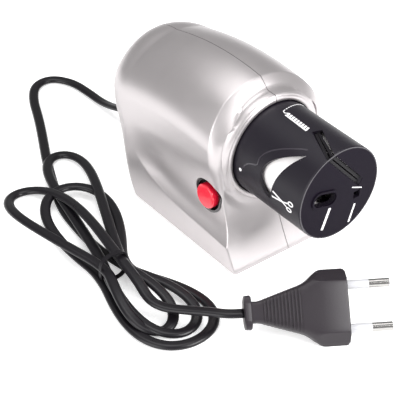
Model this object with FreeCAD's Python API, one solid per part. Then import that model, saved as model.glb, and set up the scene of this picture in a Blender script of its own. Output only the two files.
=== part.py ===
import FreeCAD, Part
import math
import os
from FreeCAD import Vector

# Electric knife sharpener, in millimetres.
# +Z is up, the grinding head points to -Y, and +X is on the left of someone who faces the head.
# The origin is on the surface that the sharpener stands on, in the middle plane of the housing.

os.makedirs("parts", exist_ok=True)

# Housing
HALF_WIDTH = 32.0
WALL = 2.4
SEAM_GAP = 0.3
BASE_Z = 1.0
BASE_FRONT_Y = -40.7
BASE_REAR_Y = 38.0
CREST_Z = 82.4
CREST_Y = 4.0
TAIL_Y = 65.0
TAIL_ROUND = 20.0
TAIL_STEPS = 6
TAIL_TURN = 70.0
TOP_FALL = 300.0
SHOULDER_RADIUS = 19.0
SHOULDER_DROP = 25.4
FACE_TOP_Y = -20.5
FACE_FOOT_Y = -33.5
FACE_FOOT_Z = 15.5
LIP_HEIGHT = 3.5
BROW_RADIUS = 7.0
BELLY_Y = 59.0
BELLY_Z = 35.0
SCOOP_REAR_Y = 35.0
SCOOP_DEPTH = 5.6
SCOOP_LOW_FRONT = 14.5
SCOOP_HIGH_FRONT = 47.0
SCOOP_REAR_Z = 31.0

# Grinding head
AXIS_Z = 50.3
HEAD_RADIUS = 22.4
HEAD_WALL = 2.0
HEAD_FRONT_Y = -67.7
HEAD_REAR_Y = -17.4
HEAD_FACE = 2.4
HEAD_CLEARANCE = 0.4
COLLAR_WALL = 2.4
COLLAR_FRONT_Y = -24.2
VALLEY_RADIUS = 28.2
VALLEY_SECTION = 2.0
VALLEY_LOW_Z = 40.0
RIM_ROUND = 0.8
SLOT_WIDTH = 3.6
SLOT_FACE_END = (12.6, 0.4)
SLOT_RIM_ANGLE = 18.6
SLOT_REAR_Y = -50.6
SLOT_REAR_ANGLE = -1.0
WINDOW_ANGLE = 70.0
WINDOW_TIP_FRONT = (-13.6, -58.4)
WINDOW_TIP_REAR = (12.3, -49.0)
WINDOW_REAR_EDGE = [(-9.6, -51.2), (-4.6, -44.9), (2.9, -41.2), (10.2, -44.4)]
WINDOW_FRONT_MIDDLE = (-1.8, -51.7)
PORT_LENGTH = 13.0
PORT_WIDTH = 6.4
PORT_CENTRE = (-8.4, 0.3)
PORT_TILT = -14.0
PEEP_SIDE = 3.6
PEEP_CENTRE = (10.8, -5.2)

# Socket that carries the head
SOCKET_CLEARANCE = 0.3
SOCKET_WALL = 2.4
SOCKET_FRONT_Y = -30.0
FLANGE_RADIUS = 24.6
FLANGE_THICKNESS = 2.5
FLANGE_FRONT_Y = -17.0
SOCKET_BORE = 8.0

# Wheel and rotor
SHAFT_RADIUS = 2.5
SHAFT_FRONT_Y = -64.2
SHAFT_REAR_Y = 45.5
WHEEL_RADIUS = 19.2
WHEEL_FRONT_Y = -60.0
WHEEL_REAR_Y = -38.0
WHEEL_BEVEL = 1.5
WASHER_RADIUS = 8.0
WASHER_THICKNESS = 1.2
NUT_FLATS = 8.0
NUT_HEIGHT = 2.6
FIT = 0.05
RUNNING_GAP = 0.5

# Motor
CAN_RADIUS = 18.0
CAN_WALL = 1.5
CAN_FRONT_Y = -14.5
CAN_REAR_Y = 34.0
BUSH_RADIUS = 4.5
BUSH_LENGTH = 5.0
MAGNET_THICKNESS = 3.2
MAGNET_ANGLE = 125.0
MAGNET_FRONT_Y = -4.0
MAGNET_REAR_Y = 23.0
CORE_POLES = 3
COMMUTATOR_RADIUS = 5.0
COMMUTATOR_LENGTH = 7.0
END_CAP_THICKNESS = 3.0
BRUSH_WIDTH = 4.0
BRUSH_LENGTH = 6.0
BRUSH_GAP = 0.15
FAN_RADIUS = 17.0
FAN_HUB = 5.0
FAN_WIDTH = 6.0
FAN_BLADES = 9
FAN_DISC = 1.0
SADDLE_THICKNESS = 2.4
SADDLE_YS = (0.0, 28.0)

# Button and switch
BUTTON_Y = -16.0
BUTTON_Z = 31.0
BEZEL_FACE_X = -29.0
BEZEL_RADIUS = 8.5
BEZEL_WELL = 7.4
BEZEL_DEPTH = 5.0
BUTTON_RADIUS = 5.9
BUTTON_PROUD = 2.3
BUTTON_HEIGHT = 5.0
BUTTON_DOME = 0.8
BUTTON_TRAVEL = 1.8
STEM_RADIUS = 1.9
SWITCH_FRONT_X = -23.4
SWITCH_REAR_X = -13.0
SWITCH_NECK_X = -19.2
SWITCH_TOP_Z = 34.0
SWITCH_STEP_Z = 28.0
SWITCH_FOOT_Z = 21.0
SWITCH_LENGTH = 12.6
SWITCH_AHEAD = 3.0
SWITCH_ROOM = 0.3
SWITCH_PIN = 0.9

# Circuit board
BOARD_Z = 10.5
BOARD_THICKNESS = 1.6
BOARD_HALF_X = 17.0
BOARD_FRONT_Y = -24.0
BOARD_REAR_Y = 18.0
POST_RADIUS = 2.6
CAPACITOR_RADIUS = 5.0
CAPACITOR_LENGTH = 12.0
DIODE_RADIUS = 1.4
DIODE_LENGTH = 5.0

# Fasteners and feet
SCREW_RADIUS = 1.5
SCREW_HEAD_RADIUS = 2.7
SCREW_HEAD_HEIGHT = 2.2
SCREW_SEAT_X = 8.0
SCREW_TIP_X = -9.0
BOSS_RADIUS = 4.2
BOSS_PLACES = [(-33.0, 8.6), (25.0, 8.6), (-8.0, 74.0), (49.0, 66.0)]
FOOT_RADIUS = 4.5
FOOT_SEAT = 0.8
FOOT_PLACES = [(-24.0, -33.0), (24.0, -33.0), (-24.0, 30.0), (24.0, 30.0)]

# Mains lead
CORD_DIAMETER = 5.0
CORD_Z = CORD_DIAMETER / 2.0
EXIT_Z = 11.0
RELIEF_FRONT_Y = 34.0
RELIEF_REAR_Y = 67.7
RELIEF_RADIUS = 5.2
RELIEF_TIP_RADIUS = 3.3
RELIEF_FLANGE = 7.0
RELIEF_FLANGE_WIDTH = 2.0
RELIEF_GROOVE_GAP = 0.2
LEAD_STRAIGHT = 13.0
CLAMP_LENGTH = 16.0
CLAMP_THICKNESS = 2.5

# Lead route on the surface, x and y, from the relief to the hank
LEAD_ROUTE = [(1.5, 121.0), (0.5, 136.0), (-7.0, 146.5), (-18.0, 145.0), (-26.0, 134.0), (-33.0, 118.0),
              (-41.0, 102.0), (-51.0, 83.0), (-60.0, 63.0)]
LEAD_STEP = (0.5, 102.0, 5.2)
LEAD_END = (-67.0, 45.0)
TAIL_START = (-76.0, -42.0)
TAIL_ROUTE = [(-68.5, -50.5)]
TAIL_STRAIGHT = 6.0
TAIL_END = (-52.5, -70.1)

# Hank outline on the surface
HANK_OUTLINE = [(-66.0, -6.0), (-52.0, -20.0), (-46.5, -38.0), (-54.0, -58.0), (-72.0, -67.0),
                (-88.0, -66.0), (-94.0, -50.0), (-88.0, -22.0), (-88.0, 0.0), (-92.0, 26.0),
                (-95.0, 52.0), (-88.0, 70.0), (-72.0, 75.0), (-56.0, 78.0), (-44.0, 90.0),
                (-36.5, 84.0), (-40.0, 58.0), (-40.0, 34.0), (-50.0, 14.0)]
HANK_HEIGHT = 12.0
TIE_CENTRE = (-76.0, -8.0)
TIE_HALF = 10.0
TIE_WIDTH = 3.5
TIE_THICKNESS = 1.5

# Plug
PLUG_DIRECTION = math.radians(-31.0)
PLUG_START = TAIL_END
PLUG_ROLL = math.radians(45.0)
PLUG_THICKNESS = 12.0
PLUG_LENGTH = 44.5
PLUG_FACE_WIDTH = 33.0
PLUG_WAIST_WIDTH = 17.0
PIN_RADIUS = 2.0
PIN_LENGTH = 19.0
PIN_SPACING = 18.6
PIN_SLEEVE = 10.0
PLUG_AXIS_Z = PLUG_FACE_WIDTH / 2.0 * math.sin(PLUG_ROLL)
TAIL_START_Z = 7.0
TAIL_MIDDLE_Z = 9.0


def save(shape, name):
    """Writes one sub-part after checking that its solids are valid."""
    for solid in shape.Solids:
        if not solid.isValid() or solid.Volume <= 0.0:
            raise ValueError(name + " has a bad solid")
    shape.exportStep("parts/" + name + ".step")
    print(name, len(shape.Solids), round(shape.Volume, 1))


def box(x0, x1, y0, y1, z0, z1):
    """A block between two corners."""
    return Part.makeBox(x1 - x0, y1 - y0, z1 - z0, Vector(x0, y0, z0))


def rod_y(radius, y0, y1, x=0.0, z=AXIS_Z):
    """A round bar along Y, on the motor axis if no other place is given."""
    return Part.makeCylinder(radius, y1 - y0, Vector(x, y0, z), Vector(0, 1, 0))


def rod_x(radius, x0, x1, y, z):
    """A round bar along X."""
    return Part.makeCylinder(radius, x1 - x0, Vector(x0, y, z), Vector(1, 0, 0))


def rod_z(radius, z0, z1, x, y):
    """A round bar along Z."""
    return Part.makeCylinder(radius, z1 - z0, Vector(x, y, z0), Vector(0, 0, 1))


def tube_y(outer, inner, y0, y1):
    """A round tube along Y on the motor axis."""
    return rod_y(outer, y0, y1).cut(rod_y(inner, y0 - 1.0, y1 + 1.0))


def group(shapes):
    """Several separate solids in one node."""
    return Part.makeCompound(shapes)


def top_height(y):
    """Height of the housing's ridge: a shallow crown that falls away to the tail."""
    return CREST_Z - (y - CREST_Y) ** 2 / TOP_FALL


def arch_wire(y, inset):
    """Cross-section of the housing at one place: straight sides, round shoulders and a flatter top."""
    past = max(0.0, y - (TAIL_Y - TAIL_ROUND))
    round_in = TAIL_ROUND - math.sqrt(TAIL_ROUND ** 2 - past ** 2)
    half = HALF_WIDTH - round_in
    top = top_height(y) - 0.8 * round_in - inset
    shrink = half / HALF_WIDTH
    shoulder = SHOULDER_RADIUS * shrink - inset
    half -= inset
    spring = top + inset - SHOULDER_DROP * shrink
    rise = top - spring
    side = half - shoulder
    crown = (side ** 2 + rise ** 2 - shoulder ** 2) / (2.0 * (rise - shoulder))
    crown_z = top - crown
    lean = math.atan2(side, spring - crown_z)
    join_x = crown * math.sin(lean)
    join_z = crown_z + crown * math.cos(lean)
    half_lean = (math.pi / 2.0 + lean) / 2.0
    mid_x = side + shoulder * math.sin(half_lean)
    mid_z = spring + shoulder * math.cos(half_lean)
    floor = BASE_Z + inset - 10.0
    right_foot = Vector(half, y, floor)
    right_spring = Vector(half, y, spring)
    right_join = Vector(join_x, y, join_z)
    left_join = Vector(-join_x, y, join_z)
    left_spring = Vector(-half, y, spring)
    left_foot = Vector(-half, y, floor)
    edges = [
        Part.makeLine(left_foot, right_foot),
        Part.makeLine(right_foot, right_spring),
        Part.Arc(right_spring, Vector(mid_x, y, mid_z), right_join).toShape(),
        Part.Arc(right_join, Vector(0, y, top), left_join).toShape(),
        Part.Arc(left_join, Vector(-mid_x, y, mid_z), left_spring).toShape(),
        Part.makeLine(left_spring, left_foot),
    ]
    return Part.Wire(edges)


def hull(inset):
    """The long arch with its rounded tail."""
    start = BASE_FRONT_Y - 4.0
    straight_end = TAIL_Y - TAIL_ROUND
    places = [start, -15.0, 15.0, straight_end]
    for step in range(1, TAIL_STEPS + 1):
        turn = math.radians(TAIL_TURN * step / TAIL_STEPS)
        places.append(straight_end + TAIL_ROUND * math.sin(turn))
    sections = [arch_wire(y, inset) for y in places]
    body = Part.makeLoft(sections, True, True)
    if inset > 0.0:
        keep = box(-60, 60, start - 1.0, places[-1] - inset, -20, 100)
        body = body.common(keep)
    return body


def side_profile(inset):
    """Side view of the housing: foot lip, flared front, brow, belly and the sloping rear."""
    foot_z = BASE_Z + inset
    brow_z = top_height(FACE_TOP_Y + BROW_RADIUS)
    corners = {
        "foot": Vector(-60, BASE_FRONT_Y + inset + 1.0, foot_z),
        "lip": Vector(-60, BASE_FRONT_Y + inset, foot_z + LIP_HEIGHT - 1.0),
        "flare": Vector(-60, FACE_FOOT_Y + inset, FACE_FOOT_Z),
        "flare_mid": Vector(-60, 0.5 * (FACE_FOOT_Y + FACE_TOP_Y) - 1.4 + inset, 26.0),
        "waist": Vector(-60, FACE_TOP_Y - 3.2 + inset, 38.0),
        "brow": Vector(-60, FACE_TOP_Y + inset, brow_z - BROW_RADIUS),
        "brow_mid": Vector(-60, FACE_TOP_Y + inset + 0.29 * BROW_RADIUS, brow_z - 0.29 * BROW_RADIUS),
        "ridge": Vector(-60, FACE_TOP_Y + BROW_RADIUS + inset, brow_z + 0.6),
        "sky_front": Vector(-60, FACE_TOP_Y + BROW_RADIUS + inset, 100),
        "sky_rear": Vector(-60, TAIL_Y + 10.0, 100),
        "tail": Vector(-60, TAIL_Y + 10.0, BELLY_Z + 14.0),
        "belly": Vector(-60, BELLY_Y + 3.0 - inset, BELLY_Z + 6.0),
        "rear_foot": Vector(-60, BASE_REAR_Y - inset, foot_z),
    }
    c = corners
    edges = [
        Part.makeLine(c["foot"], c["lip"]),
        Part.makeLine(c["lip"], c["flare"]),
        Part.Arc(c["flare"], c["flare_mid"], c["waist"]).toShape(),
        Part.makeLine(c["waist"], c["brow"]),
        Part.Arc(c["brow"], c["brow_mid"], c["ridge"]).toShape(),
        Part.makeLine(c["ridge"], c["sky_front"]),
        Part.makeLine(c["sky_front"], c["sky_rear"]),
        Part.makeLine(c["sky_rear"], c["tail"]),
        Part.makeLine(c["tail"], c["belly"]),
        Part.makeLine(c["belly"], c["rear_foot"]),
        Part.makeLine(c["rear_foot"], c["foot"]),
    ]
    return Part.Face(Part.Wire(edges)).extrude(Vector(120, 0, 0))


def scoop_wire(y, low, high, depth, side):
    """Cross-section of the hollow in a flank, on one side of the housing."""
    outside = Vector(side * (HALF_WIDTH + 8.0), y, high)
    outside_low = Vector(side * (HALF_WIDTH + 8.0), y, low)
    top = Vector(side * (HALF_WIDTH + 0.6), y, high)
    deep = Vector(side * (HALF_WIDTH - depth), y, low + 0.5 * (high - low))
    foot = Vector(side * (HALF_WIDTH + 0.6), y, low)
    edges = [
        Part.makeLine(outside_low, outside),
        Part.makeLine(outside, top),
        Part.Arc(top, deep, foot).toShape(),
        Part.makeLine(foot, outside_low),
    ]
    return Part.Wire(edges)


def scoop(side, inset):
    """The hollow that starts as a point at the rear and opens towards the front."""
    length = SCOOP_REAR_Y - BASE_FRONT_Y
    over = 4.0 / length
    grow = 1.0 + over
    low = SCOOP_REAR_Z + (SCOOP_LOW_FRONT - SCOOP_REAR_Z) * grow - inset
    high = SCOOP_REAR_Z + (SCOOP_HIGH_FRONT - SCOOP_REAR_Z) * grow + inset
    front = scoop_wire(BASE_FRONT_Y - 4.0, low, high, SCOOP_DEPTH * grow + inset, side)
    rear = scoop_wire(SCOOP_REAR_Y + inset, SCOOP_REAR_Z - 1.2 - inset, SCOOP_REAR_Z + 1.2 + inset,
                      inset - 0.2, side)
    return Part.makeLoft([front, rear], True, True)


def form(inset):
    """The closed form of the housing, or of the space inside it when an inset is given."""
    solid = hull(inset).common(side_profile(inset))
    for side in (-1.0, 1.0):
        solid = solid.cut(scoop(side, inset))
    return solid


def half_space(side):
    """Everything on one side of the seam."""
    if side < 0:
        return box(-70, -SEAM_GAP / 2.0, -90, 110, -10, 110)
    return box(SEAM_GAP / 2.0, 70, -90, 110, -10, 110)


def saddle(y):
    """A rib across the housing with a round seat for the motor."""
    rib = box(-HALF_WIDTH, HALF_WIDTH, y, y + SADDLE_THICKNESS, AXIS_Z - 16.0, AXIS_Z + 16.0)
    return rib.cut(rod_y(CAN_RADIUS + FIT, y - 1.0, y + SADDLE_THICKNESS + 1.0))


def housing():
    """Both halves of the housing, with bosses, ribs, collar and holes."""
    outer = form(0.0)
    inner = form(WALL)
    shell = outer.cut(inner)
    groove_inner = rod_y(FLANGE_RADIUS + FIT, FLANGE_FRONT_Y - FIT,
                         FLANGE_FRONT_Y + FLANGE_THICKNESS + FIT)
    inside = []
    for y, z in BOSS_PLACES:
        inside.append(rod_x(BOSS_RADIUS, -HALF_WIDTH, HALF_WIDTH, y, z))
    for y in SADDLE_YS:
        inside.append(saddle(y))
    for x, y in post_places():
        inside.append(rod_z(POST_RADIUS, BASE_Z, BOARD_Z, x, y))
    seat = rod_y(FLANGE_RADIUS + 2.0, FLANGE_FRONT_Y - 1.6, FLANGE_FRONT_Y + FLANGE_THICKNESS + 1.6)
    inside.append(seat.cut(rod_y(FLANGE_RADIUS - 2.5, FLANGE_FRONT_Y - 5.0, FLANGE_FRONT_Y + 9.0)))
    for piece in inside:
        shell = shell.fuse(piece.common(outer))
    bore = HEAD_RADIUS + HEAD_CLEARANCE
    valley = Part.makeTorus(VALLEY_RADIUS, VALLEY_SECTION, Vector(0, COLLAR_FRONT_Y - 0.6, AXIS_Z),
                            Vector(0, 1, 0))
    upper = box(-HALF_WIDTH, HALF_WIDTH, BASE_FRONT_Y, 0.0, VALLEY_LOW_Z, CREST_Z)
    shell = shell.cut(valley.common(upper))
    collar = rod_y(bore + COLLAR_WALL, COLLAR_FRONT_Y, FLANGE_FRONT_Y - 1.0)
    shell = shell.fuse(collar)
    shell = shell.cut(rod_y(bore, BASE_FRONT_Y - 10.0, FLANGE_FRONT_Y + FIT))
    shell = shell.cut(groove_inner)
    for y, z in BOSS_PLACES:
        shell = shell.cut(rod_x(SCREW_RADIUS + FIT, SCREW_TIP_X - 1.0, SCREW_SEAT_X + 1.0, y, z))
        shell = shell.cut(rod_x(SCREW_HEAD_RADIUS + 0.2, SCREW_SEAT_X, HALF_WIDTH + 5.0, y, z))
    for x, y in FOOT_PLACES:
        shell = shell.cut(rod_z(FOOT_RADIUS + FIT, BASE_Z - 1.0, BASE_Z + FOOT_SEAT, x, y))
    shell = shell.cut(rod_x(BEZEL_RADIUS - 0.8 + FIT, -HALF_WIDTH - 5.0, -HALF_WIDTH + 16.0,
                            BUTTON_Y, BUTTON_Z))
    shell = shell.cut(rod_x(BEZEL_RADIUS + FIT, -HALF_WIDTH - 5.0, BEZEL_FACE_X + 1.2 + FIT,
                            BUTTON_Y, BUTTON_Z))
    shell = shell.cut(switch_block(SWITCH_ROOM))
    relief_hole = RELIEF_RADIUS + RELIEF_GROOVE_GAP
    shell = shell.cut(rod_y(relief_hole, RELIEF_FRONT_Y + RELIEF_FLANGE_WIDTH, TAIL_Y, 0.0, EXIT_Z))
    halves = []
    for side in (-1, 1):
        half = shell.common(half_space(side)).removeSplitter()
        solids = sorted(half.Solids, key=lambda solid: solid.Volume)
        halves.append(solids[-1])
    return halves


def post_places():
    """Places of the posts that carry the circuit board."""
    places = []
    for x in (-BOARD_HALF_X + 4.0, BOARD_HALF_X - 4.0):
        for y in (BOARD_FRONT_Y + 4.0, BOARD_REAR_Y - 4.0):
            places.append((x, y))
    return places


def polar(angle, radius):
    """X and Z of a point on the head, by its angle from the top towards the button side."""
    turn = math.radians(angle)
    return -radius * math.sin(turn), AXIS_Z + radius * math.cos(turn)


def knife_slot(width, reach):
    """A flat slot through the rim and the face, where a blade is drawn through."""
    rim_x, rim_z = polar(SLOT_RIM_ANGLE, HEAD_RADIUS)
    rear_x, rear_z = polar(SLOT_REAR_ANGLE, HEAD_RADIUS)
    low = Vector(SLOT_FACE_END[0], HEAD_FRONT_Y, AXIS_Z + SLOT_FACE_END[1])
    rim = Vector(rim_x, HEAD_FRONT_Y, rim_z)
    rear = Vector(rear_x, SLOT_REAR_Y, rear_z)
    normal = (low - rim).cross(rear - rim)
    normal.normalize()
    forward = (rim - rear).normalize()
    down = (low - rim).normalize()
    outside = rim + forward * reach - down * reach
    ahead = low + forward * reach
    above = rear - down * reach
    inner = rear + down * (HEAD_WALL * 3.0)
    corners = [outside, ahead, low, inner, rear, above, outside]
    face = Part.Face(Part.makePolygon([p - normal * (width / 2.0) for p in corners]))
    return face.extrude(normal * width)


def window_cutter():
    """The crescent-shaped window that shows the flank of the wheel."""
    outer = HEAD_RADIUS + 6.0
    turn = math.radians(WINDOW_ANGLE)
    radial = Vector(-math.sin(turn), 0, math.cos(turn))
    along = Vector(-math.cos(turn), 0, -math.sin(turn))
    centre = Vector(0, 0, AXIS_Z)

    def place(point):
        return centre + radial * outer + along * point[0] + Vector(0, point[1], 0)

    front_tip = place(WINDOW_TIP_FRONT)
    rear_tip = place(WINDOW_TIP_REAR)
    curve = Part.BSplineCurve()
    curve.interpolate([front_tip] + [place(p) for p in WINDOW_REAR_EDGE] + [rear_tip])
    inner = Part.Arc(rear_tip, place(WINDOW_FRONT_MIDDLE), front_tip)
    outline = Part.Wire([curve.toShape(), inner.toShape()])
    return Part.Face(outline).extrude(radial * -(outer - HEAD_RADIUS + 12.0))


def port_cutter(grow=0.0):
    """The long round-ended port in the face of the head."""
    radius = PORT_WIDTH / 2.0 + grow
    half = (PORT_LENGTH - PORT_WIDTH) / 2.0
    y0 = HEAD_FRONT_Y - 5.0
    length = HEAD_FACE + 10.0
    block = Part.makeBox(2.0 * half, length, 2.0 * radius, Vector(-half, y0, -radius))
    for x in (-half, half):
        block = block.fuse(Part.makeCylinder(radius, length, Vector(x, y0, 0), Vector(0, 1, 0)))
    block.rotate(Vector(0, 0, 0), Vector(0, 1, 0), PORT_TILT * -1.0)
    block.translate(Vector(PORT_CENTRE[0], 0, AXIS_Z + PORT_CENTRE[1]))
    return block


def head_cap():
    """The black cap over the wheel, with its slot, window and ports."""
    outer = rod_y(HEAD_RADIUS, HEAD_FRONT_Y, HEAD_REAR_Y)
    rim = [e for e in outer.Edges if e.BoundBox.YMax < HEAD_FRONT_Y + 0.1]
    outer = outer.makeFillet(RIM_ROUND, rim)
    inner = rod_y(HEAD_RADIUS - HEAD_WALL, HEAD_FRONT_Y + HEAD_FACE, HEAD_REAR_Y + 1.0)
    cap = outer.cut(inner)
    ring = port_cutter(1.0).common(rod_y(HEAD_RADIUS, HEAD_FRONT_Y - 0.6, HEAD_FRONT_Y + 1.0))
    cap = cap.fuse(ring)
    cap = cap.cut(port_cutter())
    half = PEEP_SIDE / 2.0
    x, z = PEEP_CENTRE
    cap = cap.cut(box(x - half, x + half, HEAD_FRONT_Y - 2.0, HEAD_FRONT_Y + HEAD_FACE + 2.0,
                      AXIS_Z + z - half, AXIS_Z + z + half))
    cap = cap.cut(knife_slot(SLOT_WIDTH, 8.0))
    cap = cap.cut(window_cutter())
    return cap.removeSplitter()


def knife_guide():
    """Two plates under the slot that hold the blade at its angle."""
    frame = knife_slot(SLOT_WIDTH + 3.0, 0.0)
    room = rod_y(HEAD_RADIUS - HEAD_WALL, HEAD_FRONT_Y + HEAD_FACE, SLOT_REAR_Y)
    room = room.cut(rod_y(WHEEL_RADIUS + 0.4, WHEEL_FRONT_Y - 0.4, WHEEL_REAR_Y))
    room = room.cut(rod_y(9.0, HEAD_FRONT_Y, WHEEL_FRONT_Y))
    plates = frame.common(room).cut(knife_slot(SLOT_WIDTH - 0.4, 4.0))
    return plates


def head_socket():
    """The ring on the front of the motor that the cap slides over."""
    radius = HEAD_RADIUS - HEAD_WALL - SOCKET_CLEARANCE
    ring = tube_y(radius, radius - SOCKET_WALL, SOCKET_FRONT_Y, FLANGE_FRONT_Y)
    flange = tube_y(FLANGE_RADIUS, SOCKET_BORE, FLANGE_FRONT_Y, FLANGE_FRONT_Y + FLANGE_THICKNESS)
    return ring.fuse(flange).removeSplitter()


def grinding_wheel():
    """The white wheel with bevelled rims."""
    wheel = tube_y(WHEEL_RADIUS, SHAFT_RADIUS + FIT, WHEEL_FRONT_Y, WHEEL_REAR_Y)
    rims = [e for e in wheel.Edges if abs(e.BoundBox.XMax - WHEEL_RADIUS) < 0.01
            and e.BoundBox.YLength < 0.01]
    return wheel.makeChamfer(WHEEL_BEVEL, rims)


def wheel_washers():
    """A washer on each side of the wheel."""
    front = tube_y(WASHER_RADIUS, SHAFT_RADIUS + FIT, WHEEL_FRONT_Y - WASHER_THICKNESS, WHEEL_FRONT_Y)
    rear = tube_y(WASHER_RADIUS, SHAFT_RADIUS + FIT, WHEEL_REAR_Y, WHEEL_REAR_Y + WASHER_THICKNESS)
    return group([front, rear])


def wheel_nut():
    """The hexagon nut that clamps the wheel."""
    corner = NUT_FLATS / math.sqrt(3.0)
    front = WHEEL_FRONT_Y - WASHER_THICKNESS - NUT_HEIGHT
    points = []
    for step in range(7):
        turn = math.radians(60.0 * step)
        points.append(Vector(corner * math.cos(turn), front, AXIS_Z + corner * math.sin(turn)))
    nut = Part.Face(Part.makePolygon(points)).extrude(Vector(0, NUT_HEIGHT, 0))
    return nut.cut(rod_y(SHAFT_RADIUS + FIT, front - 1.0, front + NUT_HEIGHT + 1.0))


def motor_shaft():
    """The shaft, with a shoulder that the rear washer seats on."""
    shaft = rod_y(SHAFT_RADIUS, SHAFT_FRONT_Y, SHAFT_REAR_Y)
    rear = WHEEL_REAR_Y + WASHER_THICKNESS
    shoulder = rod_y(SHAFT_RADIUS + 1.5, rear, rear + 4.0)
    return shaft.fuse(shoulder).removeSplitter()


def motor_can():
    """The steel can, closed at the front, with a seat for the front bush."""
    can = rod_y(CAN_RADIUS, CAN_FRONT_Y, CAN_REAR_Y)
    can = can.cut(rod_y(CAN_RADIUS - CAN_WALL, CAN_FRONT_Y + CAN_WALL, CAN_REAR_Y + 1.0))
    seat = rod_y(BUSH_RADIUS + 1.5, CAN_FRONT_Y, CAN_FRONT_Y + BUSH_LENGTH)
    can = can.fuse(seat)
    return can.cut(rod_y(BUSH_RADIUS + FIT, CAN_FRONT_Y - 1.0, CAN_FRONT_Y + BUSH_LENGTH + 1.0))


def bush(front):
    """A bronze bush that the shaft runs in."""
    return tube_y(BUSH_RADIUS, SHAFT_RADIUS + FIT, front, front + BUSH_LENGTH)


def end_cap_front():
    """Front face of the motor's rear cover."""
    return CAN_REAR_Y


def motor_end_cap():
    """The plastic rear cover, which holds the rear bush and the brush holders."""
    front = end_cap_front()
    rear = front + END_CAP_THICKNESS
    cover = rod_y(CAN_RADIUS, front, rear)
    spigot = tube_y(CAN_RADIUS - CAN_WALL - FIT, CAN_RADIUS - CAN_WALL - 2.0, front - 2.0, front)
    cover = cover.fuse(spigot)
    for side in (-1.0, 1.0):
        near = COMMUTATOR_RADIUS + 1.5
        far = CAN_RADIUS - CAN_WALL - 2.5
        half = BRUSH_WIDTH / 2.0 + 1.2
        x0, x1 = sorted((side * near, side * far))
        holder = box(x0, x1, front - BRUSH_WIDTH - 3.6, front, AXIS_Z - half, AXIS_Z + half)
        cover = cover.fuse(holder)
    for side in (-1.0, 1.0):
        cover = cover.cut(brush(side, FIT))
    cover = cover.cut(rod_y(BUSH_RADIUS + FIT, front - 5.0, rear + 1.0))
    return cover.removeSplitter()


def brush(side, grow=0.0):
    """One carbon brush, beside the commutator."""
    near = COMMUTATOR_RADIUS + BRUSH_GAP - grow
    x0, x1 = sorted((side * near, side * (near + BRUSH_LENGTH + 2.0 * grow)))
    rear = end_cap_front() + END_CAP_THICKNESS - BUSH_LENGTH - 0.4 + grow
    half = BRUSH_WIDTH / 2.0 + grow
    return box(x0, x1, rear - BRUSH_WIDTH - 2.0 * grow, rear, AXIS_Z - half, AXIS_Z + half)


def magnet(centre_angle):
    """One curved magnet on the inside of the can."""
    outer = CAN_RADIUS - CAN_WALL - FIT
    ring = tube_y(outer, outer - MAGNET_THICKNESS, MAGNET_FRONT_Y, MAGNET_REAR_Y)
    reach = 2.0 * outer
    half = math.radians(MAGNET_ANGLE / 2.0)
    points = [Vector(0, MAGNET_FRONT_Y - 1.0, AXIS_Z)]
    for part in (-1.0, -0.5, 0.0, 0.5, 1.0):
        turn = math.radians(centre_angle) + part * half
        points.append(Vector(reach * math.cos(turn), MAGNET_FRONT_Y - 1.0, AXIS_Z + reach * math.sin(turn)))
    points.append(points[0])
    wedge = Part.Face(Part.makePolygon(points)).extrude(Vector(0, MAGNET_REAR_Y - MAGNET_FRONT_Y + 2.0, 0))
    return ring.common(wedge)


def armature_core():
    """The laminated core with three poles."""
    radius = CAN_RADIUS - CAN_WALL - FIT - MAGNET_THICKNESS - RUNNING_GAP
    core = rod_y(radius, MAGNET_FRONT_Y + 2.0, MAGNET_REAR_Y - 2.0)
    slot_radius = 0.30 * radius
    for pole in range(CORE_POLES):
        turn = math.radians(90.0 + 360.0 * (pole + 0.5) / CORE_POLES)
        x = 0.66 * radius * math.cos(turn)
        z = AXIS_Z + 0.66 * radius * math.sin(turn)
        core = core.cut(rod_y(slot_radius, MAGNET_FRONT_Y, MAGNET_REAR_Y, x, z))
        mouth = Part.makeBox(radius, MAGNET_REAR_Y - MAGNET_FRONT_Y, 1.6, Vector(0, MAGNET_FRONT_Y, -0.8))
        mouth.rotate(Vector(0, 0, 0), Vector(0, 1, 0), -math.degrees(turn))
        mouth.translate(Vector(0.6 * radius * math.cos(turn), 0, AXIS_Z + 0.6 * radius * math.sin(turn)))
        core = core.cut(mouth)
    return core.cut(rod_y(SHAFT_RADIUS + FIT, MAGNET_FRONT_Y, MAGNET_REAR_Y))


def armature_coils():
    """A winding in each slot of the core."""
    radius = CAN_RADIUS - CAN_WALL - FIT - MAGNET_THICKNESS - RUNNING_GAP
    coils = []
    for pole in range(CORE_POLES):
        turn = math.radians(90.0 + 360.0 * (pole + 0.5) / CORE_POLES)
        x = 0.66 * radius * math.cos(turn)
        z = AXIS_Z + 0.66 * radius * math.sin(turn)
        coils.append(rod_y(0.30 * radius - 0.3, MAGNET_FRONT_Y, MAGNET_REAR_Y + 1.0, x, z))
    return group(coils)


def commutator():
    """The copper commutator behind the core."""
    rear = end_cap_front() + END_CAP_THICKNESS - BUSH_LENGTH - 0.2
    return tube_y(COMMUTATOR_RADIUS, SHAFT_RADIUS + FIT, rear - COMMUTATOR_LENGTH, rear)


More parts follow.
